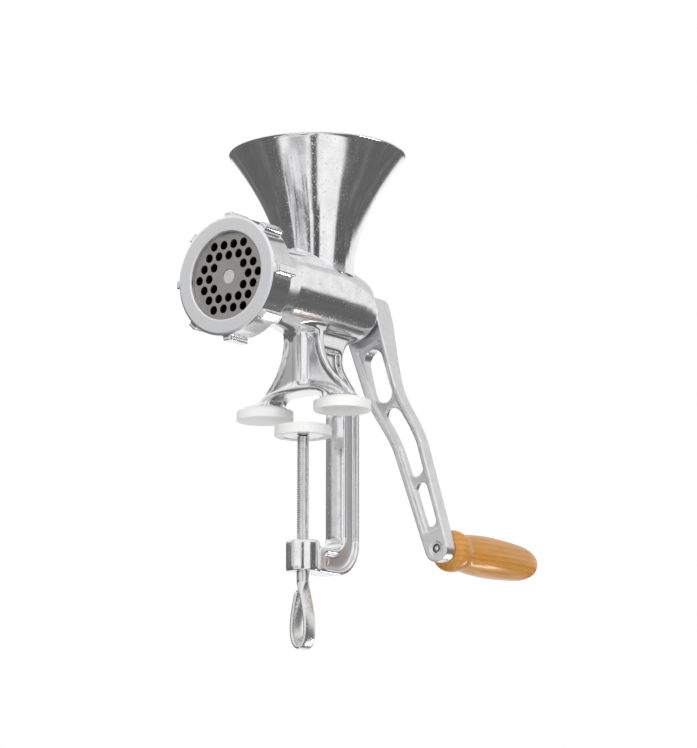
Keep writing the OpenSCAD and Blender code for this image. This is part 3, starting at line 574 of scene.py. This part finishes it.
HOPPER_Y, NECK_SKIN = 11.8, 20.1
DRAW_FROM, DRAW_TO, DRAW_R, STAND_TOP = -49, 46, 27.5, 49.5
casting = piece("body_casting", shell)
soften(casting, 0.75, 4)
shell.materials.append(tumbled)
bake(casting, crease=60)
for vertex in casting.data.vertices:
    x, y, z = vertex.co / MM
    reach, angle = math.hypot(x, z - HOUSING_Z), math.atan2(z - HOUSING_Z, x)
    skin = housing_r(y, angle)
    if DRAW_FROM < y < DRAW_TO and skin < reach < DRAW_R and z > STAND_TOP:
        off_neck = unit((math.hypot(x, y - HOPPER_Y) - NECK_SKIN) / 0.9) if z > HOUSING_Z else 1.0
        draw = unit((z - STAND_TOP) / 3) * off_neck * unit(DRAW_R - reach)
        reach += (skin - reach) * draw
        vertex.co = Vector((reach * math.cos(angle), y, HOUSING_Z + reach * math.sin(angle))) * MM
soften(casting, 0.8, 5)
bake(casting, crease=60)

# %% [markdown]
# The clamp bar's inner face is slightly crowned, so that its reflections run down it as
# lines. The points of that face move out by a parabola across the bar, which fades out
# towards both ends.

# %% Crowned inner face of the clamp bar
BAR_Y, BAR_HALF, BAR_CROWN, BAR_DEPTH = 28.5, 7.0, 1.2, 3
BAR_LOW, BAR_TOP, BAR_FADE = -70, 12, 8
crowned = 0
for vertex in casting.data.vertices:
    x, y, z = vertex.co / MM
    if BAR_LOW < z < BAR_TOP and BAR_Y - 1 < y < BAR_Y + BAR_DEPTH and abs(x) < BAR_HALF:
        ends = min(1, (z - BAR_LOW) / BAR_FADE, (BAR_TOP - z) / BAR_FADE)
        depth = min(1, (BAR_Y + BAR_DEPTH - y) / 2)
        vertex.co.y -= BAR_CROWN * MM * (ends * depth) * (1 - (x / BAR_HALF) ** 2)
        crowned += 1
print("points crowned:", crowned)

# %% [markdown]
# ## A tree that turns profiles
# Hopper, ring, pads, grip, axle and screws are all turned shapes: a profile swept round an
# axis. One Geometry Nodes tree makes them all. A grid is rolled up: one side runs along
# the profile, whose points it looks up by number, and the other round the axis. Where a
# profile point's `cut` isn't zero, the radius follows a rule as well: a helix for a
# thread, or a wave for the flutes of a thumb screw. A negative cut goes outwards, as in
# the bore of the ring.

# %% Helpers for trees
def new_tree(name, inputs):
    tree = bpy.data.node_groups.new(name, "GeometryNodeTree")
    tree.interface.new_socket("Geometry", in_out="INPUT", socket_type="NodeSocketGeometry")
    for label, kind in inputs:
        tree.interface.new_socket(label, in_out="INPUT", socket_type="NodeSocket" + kind)
    tree.interface.new_socket("Geometry", in_out="OUTPUT", socket_type="NodeSocketGeometry")
    wire = Wire(tree)
    source = tree.nodes.new("NodeGroupInput")
    return tree, wire, {s.name: Wire(tree, s) for s in source.outputs if s.name}


def close_tree(wire, geometry, material):
    real = wire.node("GeometryNodeRealizeInstances", sockets={"Geometry": geometry})
    smooth = wire.node("GeometryNodeSetShadeSmooth", sockets={"Geometry": real})
    done = wire.node("GeometryNodeSetMaterial", sockets={"Geometry": smooth, "Material": material})
    wire.node("NodeGroupOutput", sockets={"Geometry": done})


def run_tree(obj, tree, **values):
    modifier = obj.modifiers.new(tree.name, "NODES")
    modifier.node_group = tree
    names = {s.name: s.identifier for s in tree.interface.items_tree if s.in_out == "INPUT"}
    for label, value in values.items():
        modifier[names[label]] = value

# %% The turning tree
turning, wire, given = new_tree("turned profile", [
    ("Sides", "Int"), ("Pitch", "Float"), ("Thread", "Float"), ("Flutes", "Int"), ("Flute", "Float"),
    ("Material", "Material")])
count = wire.node("GeometryNodeAttributeDomainSize", {"component": "MESH"}, {0: given["Geometry"]})
sheet = wire.node("GeometryNodeMeshGrid", sockets={
    "Size X": 1.0, "Size Y": 1.0, "Vertices X": count, "Vertices Y": given["Sides"] + 1})
here = wire.node("ShaderNodeSeparateXYZ", sockets={0: wire.node("GeometryNodeInputPosition")})
step = wire.math("ROUND", (here + 0.5) * (count - 1))
share = Wire(turning, here.out.node.outputs["Y"]) + 0.5


def look_up(kind, value):
    return wire.node("GeometryNodeSampleIndex", {"data_type": kind, "domain": "POINT"},
                     {"Geometry": given["Geometry"], "Value": value, "Index": step})


point = wire.node("ShaderNodeSeparateXYZ",
                  sockets={0: look_up("FLOAT_VECTOR", wire.node("GeometryNodeInputPosition"))})
height = Wire(turning, point.out.node.outputs["Z"])
cut = look_up("FLOAT", wire.node("GeometryNodeInputNamedAttribute", {"data_type": "FLOAT"}, {"Name": "cut"}))
angle = share * (2 * math.pi)
helix = abs(wire.math("FRACT", height / given["Pitch"] - share + 100) * 2 - 1)
flank = (helix * 1.7 - 0.35).ease(0, 1)
wave = (wire.math("COSINE", angle * given["Flutes"]) * 0.5 + 0.5) ** 1.5
radius = point - cut * (flank * given["Thread"] + wave * given["Flute"])
rolled = wire.node("GeometryNodeSetPosition", sockets={
    "Geometry": sheet, "Position": wire.node("ShaderNodeCombineXYZ", sockets={
        0: radius * wire.math("COSINE", angle), 1: radius * wire.math("SINE", angle), 2: height})})
welded = wire.node("GeometryNodeMergeByDistance", sockets={"Geometry": rolled, "Distance": 1e-6})
close_tree(wire, welded, given["Material"])
print("turning tree:", len(turning.nodes), "nodes")

# %% Profiles in millimetres
def rounded(points, radius, steps=5):
    """A closed profile with each corner drawn as a small curve."""
    done = []
    for i, corner in enumerate(points):
        corner = Vector(corner[:2])
        before, after = Vector(points[i - 1][:2]), Vector(points[(i + 1) % len(points)][:2])
        reach = min(radius, 0.45 * (before - corner).length, 0.45 * (after - corner).length)
        start = corner + (before - corner).normalized() * reach
        end = corner + (after - corner).normalized() * reach
        for k in range(steps + 1):
            t = k / steps
            done.append(start * (1 - t) ** 2 + corner * 2 * t * (1 - t) + end * t ** 2)
    return [(p.x, p.y, 0.0) for p in done]


def turned(name, profile, material, sides=96, closed=True, **values):
    mesh = bpy.data.meshes.new(name)
    loop = profile + profile[:1] if closed else profile
    mesh.from_pydata([(p[0] * MM, 0, p[1] * MM) for p in loop],
                     [(i, i + 1) for i in range(len(loop) - 1)], [])
    cuts = mesh.attributes.new("cut", "FLOAT", "POINT")
    for i, p in enumerate(loop):
        cuts.data[i].value = p[2] if len(p) > 2 else 0.0
    obj = piece(name, mesh)
    settings = dict(Sides=sides, Pitch=1.0, Thread=0.0, Flutes=1, Flute=0.0, Material=material)
    run_tree(obj, turning, **{**settings, **values})
    return obj


def on_axis(y, x=0.0, z=AXIS_Z):
    return Matrix.Translation((x * MM, y * MM, z * MM)) @ Matrix.Rotation(math.radians(-90), 4, "X")


def upright(x=0.0, y=0.0, z=0.0):
    return Matrix.Translation((x * MM, y * MM, z * MM))

# %% [markdown]
# ## The hopper
# The funnel flares faster towards its rim, like a trumpet bell: its radius grows with
# the height to the power 1.75. It is polished, so it has to be exactly round, which a
# lathe gives and a voxel grid doesn't. Its wall starts a little below the crease and
# stands a hair outside the casting's own neck.

# %% Hopper funnel
NECK_R, RIM_R, NECK_Z, RIM_Z, WALL, FLARE, LIP = 20.0, 48.9, 82.9, 148.4, 2.6, 1.75, 1.1
SKIRT_Z, FOOT_Z, COVER, COVER_TOP, COVER_FADE, WALL_STEPS = 79, 80, 0.22, 108, 13, 56


def funnel_r(z):
    return NECK_R + (RIM_R - NECK_R) * max(0.0, (z - NECK_Z) / (RIM_Z - NECK_Z)) ** FLARE


def cover(z):
    """How far the wall stands outside the casting's own neck at a height."""
    return COVER * unit((COVER_TOP - z) / COVER_FADE)


heights = [FOOT_Z + (RIM_Z - LIP - FOOT_Z) * i / WALL_STEPS for i in range(WALL_STEPS + 1)]
outer = [(funnel_r(z) + cover(z), z) for z in [SKIRT_Z] + heights]
lip_mid = funnel_r(RIM_Z) - WALL / 2
lip = [(lip_mid + WALL / 2 * math.cos(a), RIM_Z - LIP + LIP * math.sin(a))
       for a in [math.pi * k / 10 for k in range(1, 10)]]
inner = [(funnel_r(z) - WALL - cover(z), z) for z in reversed(heights)]
hopper = turned("hopper_funnel", outer + lip + inner, polished, sides=192)
bake(hopper, place=upright(0, HOPPER_Y))
print("rim radius", round(RIM_R, 1), "mm")

# %% [markdown]
# ## The threaded mouth
# The mouth of the barrel carries a coarse thread. It only shows when the ring nut is
# screwed off, but then it has to be there. A voxel grid is too coarse for it, so the
# casting's skin sinks a little there and a turned sleeve with the thread goes over it.

# %% Threaded mouth
MOUTH_R, MOUTH_Y, MOUTH_END, PITCH = 28.62, -62.3, -51.5, 2.0
SINK, SLEEVE = 1.1, 1.5
for vertex in casting.data.vertices:
    x, y, z = vertex.co / MM
    reach = math.hypot(x, z - AXIS_Z)
    if y < MOUTH_END + 0.8 and reach > MOUTH_R - SINK:
        scale = (MOUTH_R - SINK) / reach
        vertex.co = Vector((x * scale, y, AXIS_Z + (z - AXIS_Z) * scale)) * MM
length = MOUTH_END - MOUTH_Y
steps = 54
wall = [(MOUTH_R, length * i / steps, min(1, i / 4, (steps - i) / 4)) for i in range(steps + 1)]
mouth = turned("mouth_thread", wall + [(MOUTH_R - SLEEVE, length), (MOUTH_R - SLEEVE, 0)], tumbled,
               sides=128, Pitch=PITCH * MM, Thread=0.85 * MM)
bake(mouth, place=on_axis(MOUTH_Y))

# %% [markdown]
# The mould left a small round mark on each side of the lower clamp arm. It is finer than
# the voxels that rounded the casting, so it is turned by itself and set on the web.

# %% Mould marks on the clamp arm
WEB_X, MARK_Y, MARK_Z, MARK_R = 3.7, 15.1, -77.4, 2.6
mark_profile = [(0, 0.25), (1.3, 0.25), (1.7, 0.4), (2.1, 0.75), (2.4, 0.75),
                (MARK_R, 0.5), (MARK_R + 0.1, -0.4), (0, -0.4)]
mould_marks = []
for label, side in (("left", -1), ("right", 1)):
    mark = turned("mould_mark_" + label, mark_profile, satin, closed=False, sides=40)
    lie = Matrix.Rotation(side * math.radians(90), 4, "Y")
    mould_marks.append(bake(mark, place=upright(side * WEB_X, MARK_Y, MARK_Z) @ lie))

# %% [markdown]
# ## The ring nut
# The ring is turned, with eight lugs to grip it by. The lugs are one block set round the
# ring by Instance on Points, and a voxel pass fuses them to the rim with small fillets
# and rounds them, as the casting has them.

# %% Tree for a ring with lugs
lugging, wire, given = new_tree("ring with lugs", [
    ("Lugs", "Int"), ("Radius", "Float"), ("Width", "Float"), ("Depth", "Float"), ("Length", "Float"),
    ("From", "Float"), ("Material", "Material")])
block = wire.node("GeometryNodeMeshCube", sockets={
    "Size": wire.node("ShaderNodeCombineXYZ", sockets={
        0: given["Depth"], 1: given["Width"], 2: given["Length"] - given["From"]}),
    "Vertices X": 4, "Vertices Y": 4, "Vertices Z": 6})
spots = wire.node("GeometryNodeMeshCircle", sockets={"Vertices": given["Lugs"], "Radius": given["Radius"]})
raised = wire.node("GeometryNodeTransform", sockets={
    "Geometry": spots, "Translation": wire.node("ShaderNodeCombineXYZ", sockets={
        2: (given["Length"] + given["From"]) / 2})})
turns = wire.node("ShaderNodeCombineXYZ", sockets={
    2: wire.node("GeometryNodeInputIndex") * (2 * math.pi) / given["Lugs"]})
lugs = wire.node("GeometryNodeInstanceOnPoints", sockets={
    "Points": raised, "Instance": block, "Rotation": turns})
joined = wire.node("GeometryNodeJoinGeometry")
for part in (given["Geometry"], lugs):
    lugging.links.new(part.out, joined.out.node.inputs[0])
close_tree(wire, joined, given["Material"])
print("ring tree:", len(lugging.nodes), "nodes")

# %% Ring nut with lugs
RING_R, RING_BORE, RING_LEN, RING_LIP, WINDOW_R, RELIEF = 32.06, 28.76, 16.5, 2.6, 23.4, 0.4
LUGS, LUG_W, LUG_H, LUG_FROM = 8, 5.0, 2.5, 1.6
THREAD_STEPS, RUN_OUT = 60, 5

lip_edge = [(WINDOW_R, RING_LIP), (WINDOW_R, 0.5), (WINDOW_R + 0.5, 0)]
front_edge = rounded([(WINDOW_R, 0), (RING_R, 0), (RING_R, RING_LEN)], 1.3)[6:12]
back_edge = [(RING_R, RING_LEN - 0.6), (RING_R - 0.6, RING_LEN), (RING_BORE, RING_LEN)]
threads = [(RING_BORE, RING_LIP + RELIEF + (RING_LEN - RING_LIP - RELIEF) * i / THREAD_STEPS,
            -min(1, i / RUN_OUT, (THREAD_STEPS - i) / RUN_OUT)) for i in range(THREAD_STEPS + 1)]
ring = turned("ring", lip_edge + front_edge + back_edge + threads[::-1] + [(RING_BORE, RING_LIP)],
              turned_ring, sides=144, Pitch=PITCH * MM, Thread=0.8 * MM)
run_tree(ring, lugging, Lugs=LUGS, Radius=(RING_R + LUG_H / 2 - 0.5) * MM, Width=LUG_W * MM,
         Depth=(LUG_H + 1) * MM, Length=RING_LEN * MM, From=LUG_FROM * MM, Material=turned_ring)
ring.name = "ring_nut_cast"
soften(ring, 0.42, 5)
bake(ring, crease=60, place=on_axis(RING_Y))

# %% [markdown]
# ## The cutting plate
# A hardened steel disc with thirty holes: the outer two rings of a honeycomb. The tree
# starts from a small grid of points, skews it into a honeycomb, deletes the inner points
# by rule, and puts a circle on each. Fill Curve makes a face with those holes, Extrude
# gives it thickness, and a Bevel breaks every edge, which is what catches the light.

# %% Tree for a perforated plate
perforating, wire, given = new_tree("perforated plate", [
    ("Radius", "Float"), ("Thickness", "Float"), ("Hole", "Float"), ("Pitch", "Float"), ("Centre", "Float"),
    ("Material", "Material")])
grid = wire.node("GeometryNodeMeshGrid", sockets={
    "Size X": 6.0, "Size Y": 6.0, "Vertices X": 7, "Vertices Y": 7})
cell = wire.node("ShaderNodeSeparateXYZ", sockets={0: wire.node("GeometryNodeInputPosition")})
row = Wire(perforating, cell.out.node.outputs["Y"])
shell_no = wire.math("MAXIMUM", wire.math("MAXIMUM", abs(cell), abs(row)), abs(cell + row))
outside = wire.math("MAXIMUM", wire.math("LESS_THAN", shell_no, 1.5), wire.math("GREATER_THAN", shell_no, 3.5))
kept = wire.node("GeometryNodeDeleteGeometry", {"domain": "POINT"}, {"Geometry": grid, "Selection": outside})
comb = wire.node("GeometryNodeSetPosition", sockets={
    "Geometry": kept, "Position": wire.node("ShaderNodeCombineXYZ", sockets={
        0: (cell + row * 0.5) * given["Pitch"], 1: row * given["Pitch"] * math.sin(math.radians(60))})})


def circle(radius, sides):
    return wire.node("GeometryNodeCurvePrimitiveCircle", {"mode": "RADIUS"},
                     {"Resolution": sides, "Radius": radius})


holes = wire.node("GeometryNodeInstanceOnPoints", sockets={
    "Points": comb, "Instance": circle(given["Hole"], 24)})
outlines = wire.node("GeometryNodeJoinGeometry")
for part in (holes, circle(given["Centre"], 32), circle(given["Radius"], 128)):
    perforating.links.new(part.out, outlines.out.node.inputs[0])
flat_face = wire.node("GeometryNodeFillCurve", sockets={
    "Curve": wire.node("GeometryNodeRealizeInstances", sockets={"Geometry": outlines})})
slab = wire.node("GeometryNodeExtrudeMesh", sockets={
    "Mesh": flat_face, "Offset": (0, 0, 1), "Offset Scale": given["Thickness"], "Individual": False})
both_faces = wire.node("GeometryNodeJoinGeometry")
for part in (slab, wire.node("GeometryNodeFlipFaces", sockets={"Mesh": flat_face})):
    perforating.links.new(part.out, both_faces.out.node.inputs[0])
welded = wire.node("GeometryNodeMergeByDistance", sockets={"Geometry": both_faces, "Distance": 1e-6})
close_tree(wire, welded, given["Material"])
print("plate tree:", len(perforating.nodes), "nodes")

# %% Perforated plate
PLATE_R, PLATE_T, HOLE_R, HOLE_PITCH, PIN_HOLE_R, EDGE = 26.5, 5.0, 2.35, 6.6, 3.78, 0.22
plate = piece("cutting_plate_ground", bpy.data.meshes.new("cutting_plate_ground"))
run_tree(plate, perforating, Radius=PLATE_R * MM, Thickness=PLATE_T * MM, Hole=HOLE_R * MM,
         Pitch=HOLE_PITCH * MM, Centre=PIN_HOLE_R * MM, Material=ground)
broken = plate.modifiers.new("edges", "BEVEL")
broken.width, broken.segments = EDGE * MM, 2
broken.limit_method, broken.angle_limit = "ANGLE", math.radians(50)
bake(plate, crease=20, place=on_axis(PLATE_Y))

# %% [markdown]
# ## The crank
# The arm is cast like the body: a tapered bar with raised edges, a thin web with three
# slots, and a step that carries the handle clear of the stand. Its solid has all of that,
# so the same voxel pass only has to soften it. The auger gets the same treatment, because
# its flight shows through the hopper.

# %% Crank and auger
def softened(name, node, voxel, rounds, material):
    mesh = bpy.data.meshes.new(name)
    work = merged(node)
    work.to_mesh(mesh)
    work.free()
    mesh.materials.append(material)
    obj = piece(name, mesh)
    soften(obj, voxel, rounds)
    return bake(obj, crease=60)


crank = softened("crank_cast", "crank_arm", 0.5, 5, sandy)
auger = softened("auger_cast", "auger", 0.6, 4, satin)

# %% [markdown]
# ## The grip
# A turned wooden handle: a rounded collar by the crank, a shallow groove, then a long
# swell to a rounded end. The profile is the rule of the solid, drawn with more points and
# a fuller end. That end is bored for the head of the steel axle, which is riveted into
# the crank: the small ring in the crank's tip is where the rivet was set, and the groove
# in it is painted dark as shade.

# %% Wooden grip
GRIP_Y, GRIP_LEN, GRIP_D = grip_low[1] / MM, (grip_high[1] - grip_low[1]) / MM, 22.8
AXLE_BORE, SEAT_R, SEAT_DEPTH, GRIP_STEPS, EASINGS = 3.08, 5.6, 6.5, 110, 8


def grip_r(t):
    collar = (0.92 + 0.1 * math.sin(math.pi * unit(t / 0.16))
              - 0.06 * (1 - math.cos(math.pi * unit((t - 0.1) / 0.07))))
    swell = 0.21 * math.sin(math.pi * unit((t - 0.14) / 0.86) ** 0.75)
    end = math.sqrt(1 - 0.42 * max(0, (t - 0.84) / 0.16) ** 2)
    start = math.sqrt(1 - 0.5 * max(0, (0.05 - t) / 0.05) ** 2)
    return GRIP_D / 2 * (collar + swell) * end * start


radii = [grip_r(i / GRIP_STEPS) for i in range(GRIP_STEPS + 1)]
for _ in range(EASINGS):
    radii = radii[:1] + [(a + 2 * b + c) / 4 for a, b, c in zip(radii, radii[1:], radii[2:])] + radii[-1:]
side = [(r, GRIP_LEN * i / GRIP_STEPS) for i, r in enumerate(radii[:-1])] + [(radii[-1] - 0.5, GRIP_LEN)]
bored = [(SEAT_R + 0.5, GRIP_LEN), (SEAT_R, GRIP_LEN - 0.6), (SEAT_R, GRIP_LEN - SEAT_DEPTH),
         (AXLE_BORE, GRIP_LEN - SEAT_DEPTH), (AXLE_BORE, 0)]
grip = turned("wooden_grip", side + bored, wood, sides=96)
bake(grip, place=on_axis(GRIP_Y, GRIP_X / MM, GRIP_Z / MM))

# %% Riveted axle
axle_low, axle_high = [v[1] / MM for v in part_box("handle_axle")]
AXLE_R, HEAD_R, HEAD_T, RIVET_R, RIVET_T = 3.0, 4.7, 2.6, 3.9, 1.0
GROOVE_FROM, GROOVE_TO = 0.3, 1.4
span = axle_high - axle_low
rivet = [(0, 0.0), (0.9, 0.0), (1.2, 0.25), (1.3, 1.0), (2.1, 1.0), (2.35, 0.3), (2.5, -0.08), (2.8, -0.24),
         (RIVET_R - 0.2, -0.24), (RIVET_R, 0), (RIVET_R, RIVET_T), (AXLE_R, RIVET_T)]
cap = [(AXLE_R, span - HEAD_T), (HEAD_R, span - HEAD_T), (HEAD_R, span - 1.0), (HEAD_R - 0.4, span - 0.3),
       (HEAD_R - 1.1, span), (0, span)]


# Painted shade: the groove round the rivet is painted dark.
def shade_in_groove(wire, place):
    depth = split(wire, place)[1] - axle_low * MM
    started = depth.ease((GROOVE_FROM - 0.15) * MM, (GROOVE_FROM + 0.2) * MM)
    return started * (1 - depth.ease((GROOVE_TO - 0.2) * MM, (GROOVE_TO + 0.2) * MM))


riveted = metal("riveted_steel", (0.86, 0.85, 0.83), 0.24, wave=0.02, grain=0.003,
                # the darker groove is painted shade
                patches=[(shade_in_groove, (0.32, 0.32, 0.32), 0.5)])
axle = turned("axle_riveted", rivet + cap, riveted, closed=False, sides=64)
bake(axle, crease=40, place=on_axis(axle_low, GRIP_X / MM, GRIP_Z / MM))

# %% [markdown]
# ## Pads
# Three plastic caps. The two under the feet are discs with a collar round the cast foot,
# and the third is snapped over the swivel plate at the tip of the screw. All edges are
# moulded round.

# %% Plastic pads
PAD_R, PAD_DISC, PAD_FLOOR, FOOT_R, COLLAR_R, COLLAR_Z = 15.5, 5.5, 3.0, 10.58, 12.18, 7.0
FOOT_X = 26.3
foot_profile = rounded([(PAD_R, 0), (PAD_R, PAD_DISC), (COLLAR_R, PAD_DISC), (COLLAR_R, COLLAR_Z),
                        (FOOT_R, COLLAR_Z), (FOOT_R, PAD_FLOOR)], 0.7)
pads = []
for label, x in (("left", -FOOT_X), ("right", FOOT_X)):
    pad = turned("pad_moulded_" + label, [(0, 0)] + foot_profile + [(0, PAD_FLOOR)], plastic, closed=False)
    pads.append(bake(pad, place=upright(x)))

PAD_LOW, PAD_HIGH, SWIVEL_R, SWIVEL_TOP, PEEN_R = -11.1, -5.6, 11.0, -8.7, 3.65
clamp_profile = rounded([(0.6, PAD_HIGH), (PAD_R, PAD_HIGH), (PAD_R, PAD_LOW), (SWIVEL_R, PAD_LOW),
                         (SWIVEL_R, SWIVEL_TOP), (PEEN_R, SWIVEL_TOP), (PEEN_R, SWIVEL_TOP + 1.5)], 0.7)
clamp_cap = turned("clamp_pad_moulded", [(0, PAD_HIGH)] + clamp_profile[6:] + [(0, SWIVEL_TOP + 1.5)],
                   plastic, closed=False)
bake(clamp_cap)

# %% [markdown]
# ## The clamp screw
# A zinc-plated rod with a fine thread, flattened at its lower end and bent round into
# an eye to turn it by. The rod is turned with the thread rule on; the eye is a strip whose
# section goes from round to flat while it follows a teardrop, so it is drawn ring by ring
# and joined to the rod.

# %% Threaded rod
SCREW_R, SCREW_PITCH, TIP_R = 3.3, 1.25, 2.05
EYE_TOP, EYE_H, EYE_W, EYE_BAR_W, EYE_BAR_T = -89.4, 36.5, 13.0, 9.4, 2.4
SWIVEL_Z = -10.7
POINTS_PER_TURN, PLAIN_POINTS = 10, 40
low, high = EYE_TOP + 0.7, SWIVEL_Z - 0.7
steps = int((high - low) / SCREW_PITCH * POINTS_PER_TURN)
foot_end = [(0, EYE_TOP - 1.4), (SCREW_R * 0.9, EYE_TOP - 1.4), (SCREW_R * 0.98, EYE_TOP - 0.6)]
shank = [(SCREW_R, low + (high - low) * i / steps, unit(min((i - PLAIN_POINTS) / 24, (steps - i) / 8)))
         for i in range(steps + 1)]
peened_tip = [(TIP_R, SWIVEL_Z), (TIP_R, SWIVEL_Z + 2.3), (TIP_R + 1.1, SWIVEL_Z + 2.3),
              (TIP_R + 1.3, SWIVEL_Z + 2.6), (TIP_R + 1.3, SWIVEL_Z + 3.0), (TIP_R + 1.0, SWIVEL_Z + 3.3),
              (0, SWIVEL_Z + 3.3)]
screw = turned("clamp_screw_bent", foot_end + shank + peened_tip, zinc, sides=40, closed=False,
               Pitch=SCREW_PITCH * MM, Thread=0.5 * MM)
bake(screw, crease=50)

# %% Bent eye
def eye_point(a):
    bend = (EYE_W - EYE_BAR_T) / 2 / 0.84
    x = bend * math.sin(a) * abs(math.sin(a / 2)) ** 1.4
    return Vector((x, EYE_TOP - (EYE_H - EYE_BAR_T / 2) * (1 - math.cos(a)) / 2))


def eye_strip(rings=110, around=20, first=14, last=318, blend=48):
    """From the first to the last degree round the eye; the section turns flat over the blend."""
    strip = bmesh.new()
    loops = []
    for k in range(rings + 1):
        degree = first + (last - first) * k / rings
        a = math.radians(degree)
        ahead = (eye_point(a + 0.01) - eye_point(a - 0.01)).normalized()
        across = Vector((-ahead.y, ahead.x))
        m = (1 - math.cos(math.pi * unit((degree - first) / blend))) / 2
        thick = SCREW_R * (1 - m) + EYE_BAR_T / 2 * m
        wide = SCREW_R * (1 - m) + EYE_BAR_W / 2 * m
        end = min(1.0, 0.55 + 0.45 * (rings - k) / 3)
        square = 2 + 1.6 * m
        ring = []
        for j in range(around):
            b = 2 * math.pi * (j + 0.5) / around
            c, s = math.cos(b), math.sin(b)
            t = thick * end * math.copysign(abs(c) ** (2 / square), c)
            w = wide * end * math.copysign(abs(s) ** (2 / square), s)
            p = eye_point(a) + across * t
            ring.append(strip.verts.new((p.x * MM, w * MM, p.y * MM)))
        loops.append(ring)
    loft(strip, loops)
    return strip


strip = eye_strip()
strip.from_mesh(screw.data)
strip.to_mesh(screw.data)
strip.free()
one_finish(screw.data)
screw.data.shade_smooth()
screw.data.set_sharp_from_angle(angle=math.radians(50))
print("screw faces", len(screw.data.polygons))

# %% [markdown]
# ## The thumb screw
# Behind the hub a small fluted screw holds the crank on the auger's square. The head is
# turned with the flute rule on, its stud with the thread rule.

# %% Fluted head and stud
THUMB_Y, THUMB_R, THUMB_LEN, STUD_R, STUD_PITCH = 66.0, 7.0, 6.5, 2.9, 1.0
head = rounded([(THUMB_R - 2, 0), (THUMB_R, 2), (THUMB_R, THUMB_LEN), (0.4, THUMB_LEN)], 0.9)[:18]
head = [(r, h, unit((r - 3.5) / 3)) for r, h, _ in head]
side_run = [(THUMB_R, 2.4 + 3.0 * i / 4, 1.0) for i in range(5)]
knob = turned("thumb_screw_fluted", [(0, 0)] + head[:12] + side_run + head[12:] + [(0, THUMB_LEN)], sandy,
              closed=False, sides=144, Flutes=12, Flute=0.9 * MM)
bake(knob, crease=50, place=on_axis(THUMB_Y))
stud_low, stud_high = [v[1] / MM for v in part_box("thumb_screw_stud")]
stud_len = stud_high - stud_low
steps = int(stud_len / STUD_PITCH * POINTS_PER_TURN)
shaft = [(STUD_R, stud_len * i / steps, min(1, i / 8, (steps - i) / 8)) for i in range(steps + 1)]
stud = turned("thumb_screw_thread", [(0, 0)] + shaft + [(0, stud_len)], zinc, closed=False, sides=40,
              Pitch=STUD_PITCH * MM, Thread=0.5 * MM)
bake(stud, crease=50, place=on_axis(stud_low))

# %% [markdown]
# ## Riding on the bodies
# Every piece moves with one body of the frame and stands for the solids it covers. Solids
# that are right as they are, such as washers, pin and knife, keep their mesh and only get
# a finish.

# %% Bodies and replaced solids
dress(casting, "housing", "cast_aluminium", "grinding_barrel", "clamp_stand")
dress(hopper, "housing", "polished_aluminium", "hopper")
dress(mouth, "housing", "cast_aluminium")
for mark in mould_marks:
    dress(mark, "housing", "cast_aluminium")
dress(ring, "ring_nut", "cast_aluminium", "ring_nut")
dress(plate, "cutting_plate", "bright_steel", "cutting_plate")
dress(crank, "drive", "cast_aluminium", "crank_arm")
dress(auger, "drive", "cast_aluminium", "auger")
dress(grip, "handle", "wood", "handle_grip")
dress(axle, "drive", "bright_steel", "handle_axle")
dress(pads[0], "housing", "white_plastic", "foot_pad_left")
dress(pads[1], "housing", "white_plastic", "foot_pad_right")
dress(clamp_cap, "clamp_pad", "white_plastic", "clamp_pad")
dress(screw, "clamp_screw", "zinc_steel", "clamp_screw")
dress(knob, "thumb_screw", "cast_aluminium", "thumb_screw_head")
dress(stud, "thumb_screw", "zinc_steel", "thumb_screw_stud")

# The knife's near-black steel is partly painted shade.
KEPT = {"plate_key_pin": bright, "thrust_washer": plastic, "auger_stud": bright, "knife": oiled_and_shaded,
        "axle_washer": zinc, "crank_washer": zinc, "swivel_plate": zinc}
for name, material in KEPT.items():
    for own in nodes[name].material_slots:
        own.material = material
print("kept solids:", sorted(KEPT))
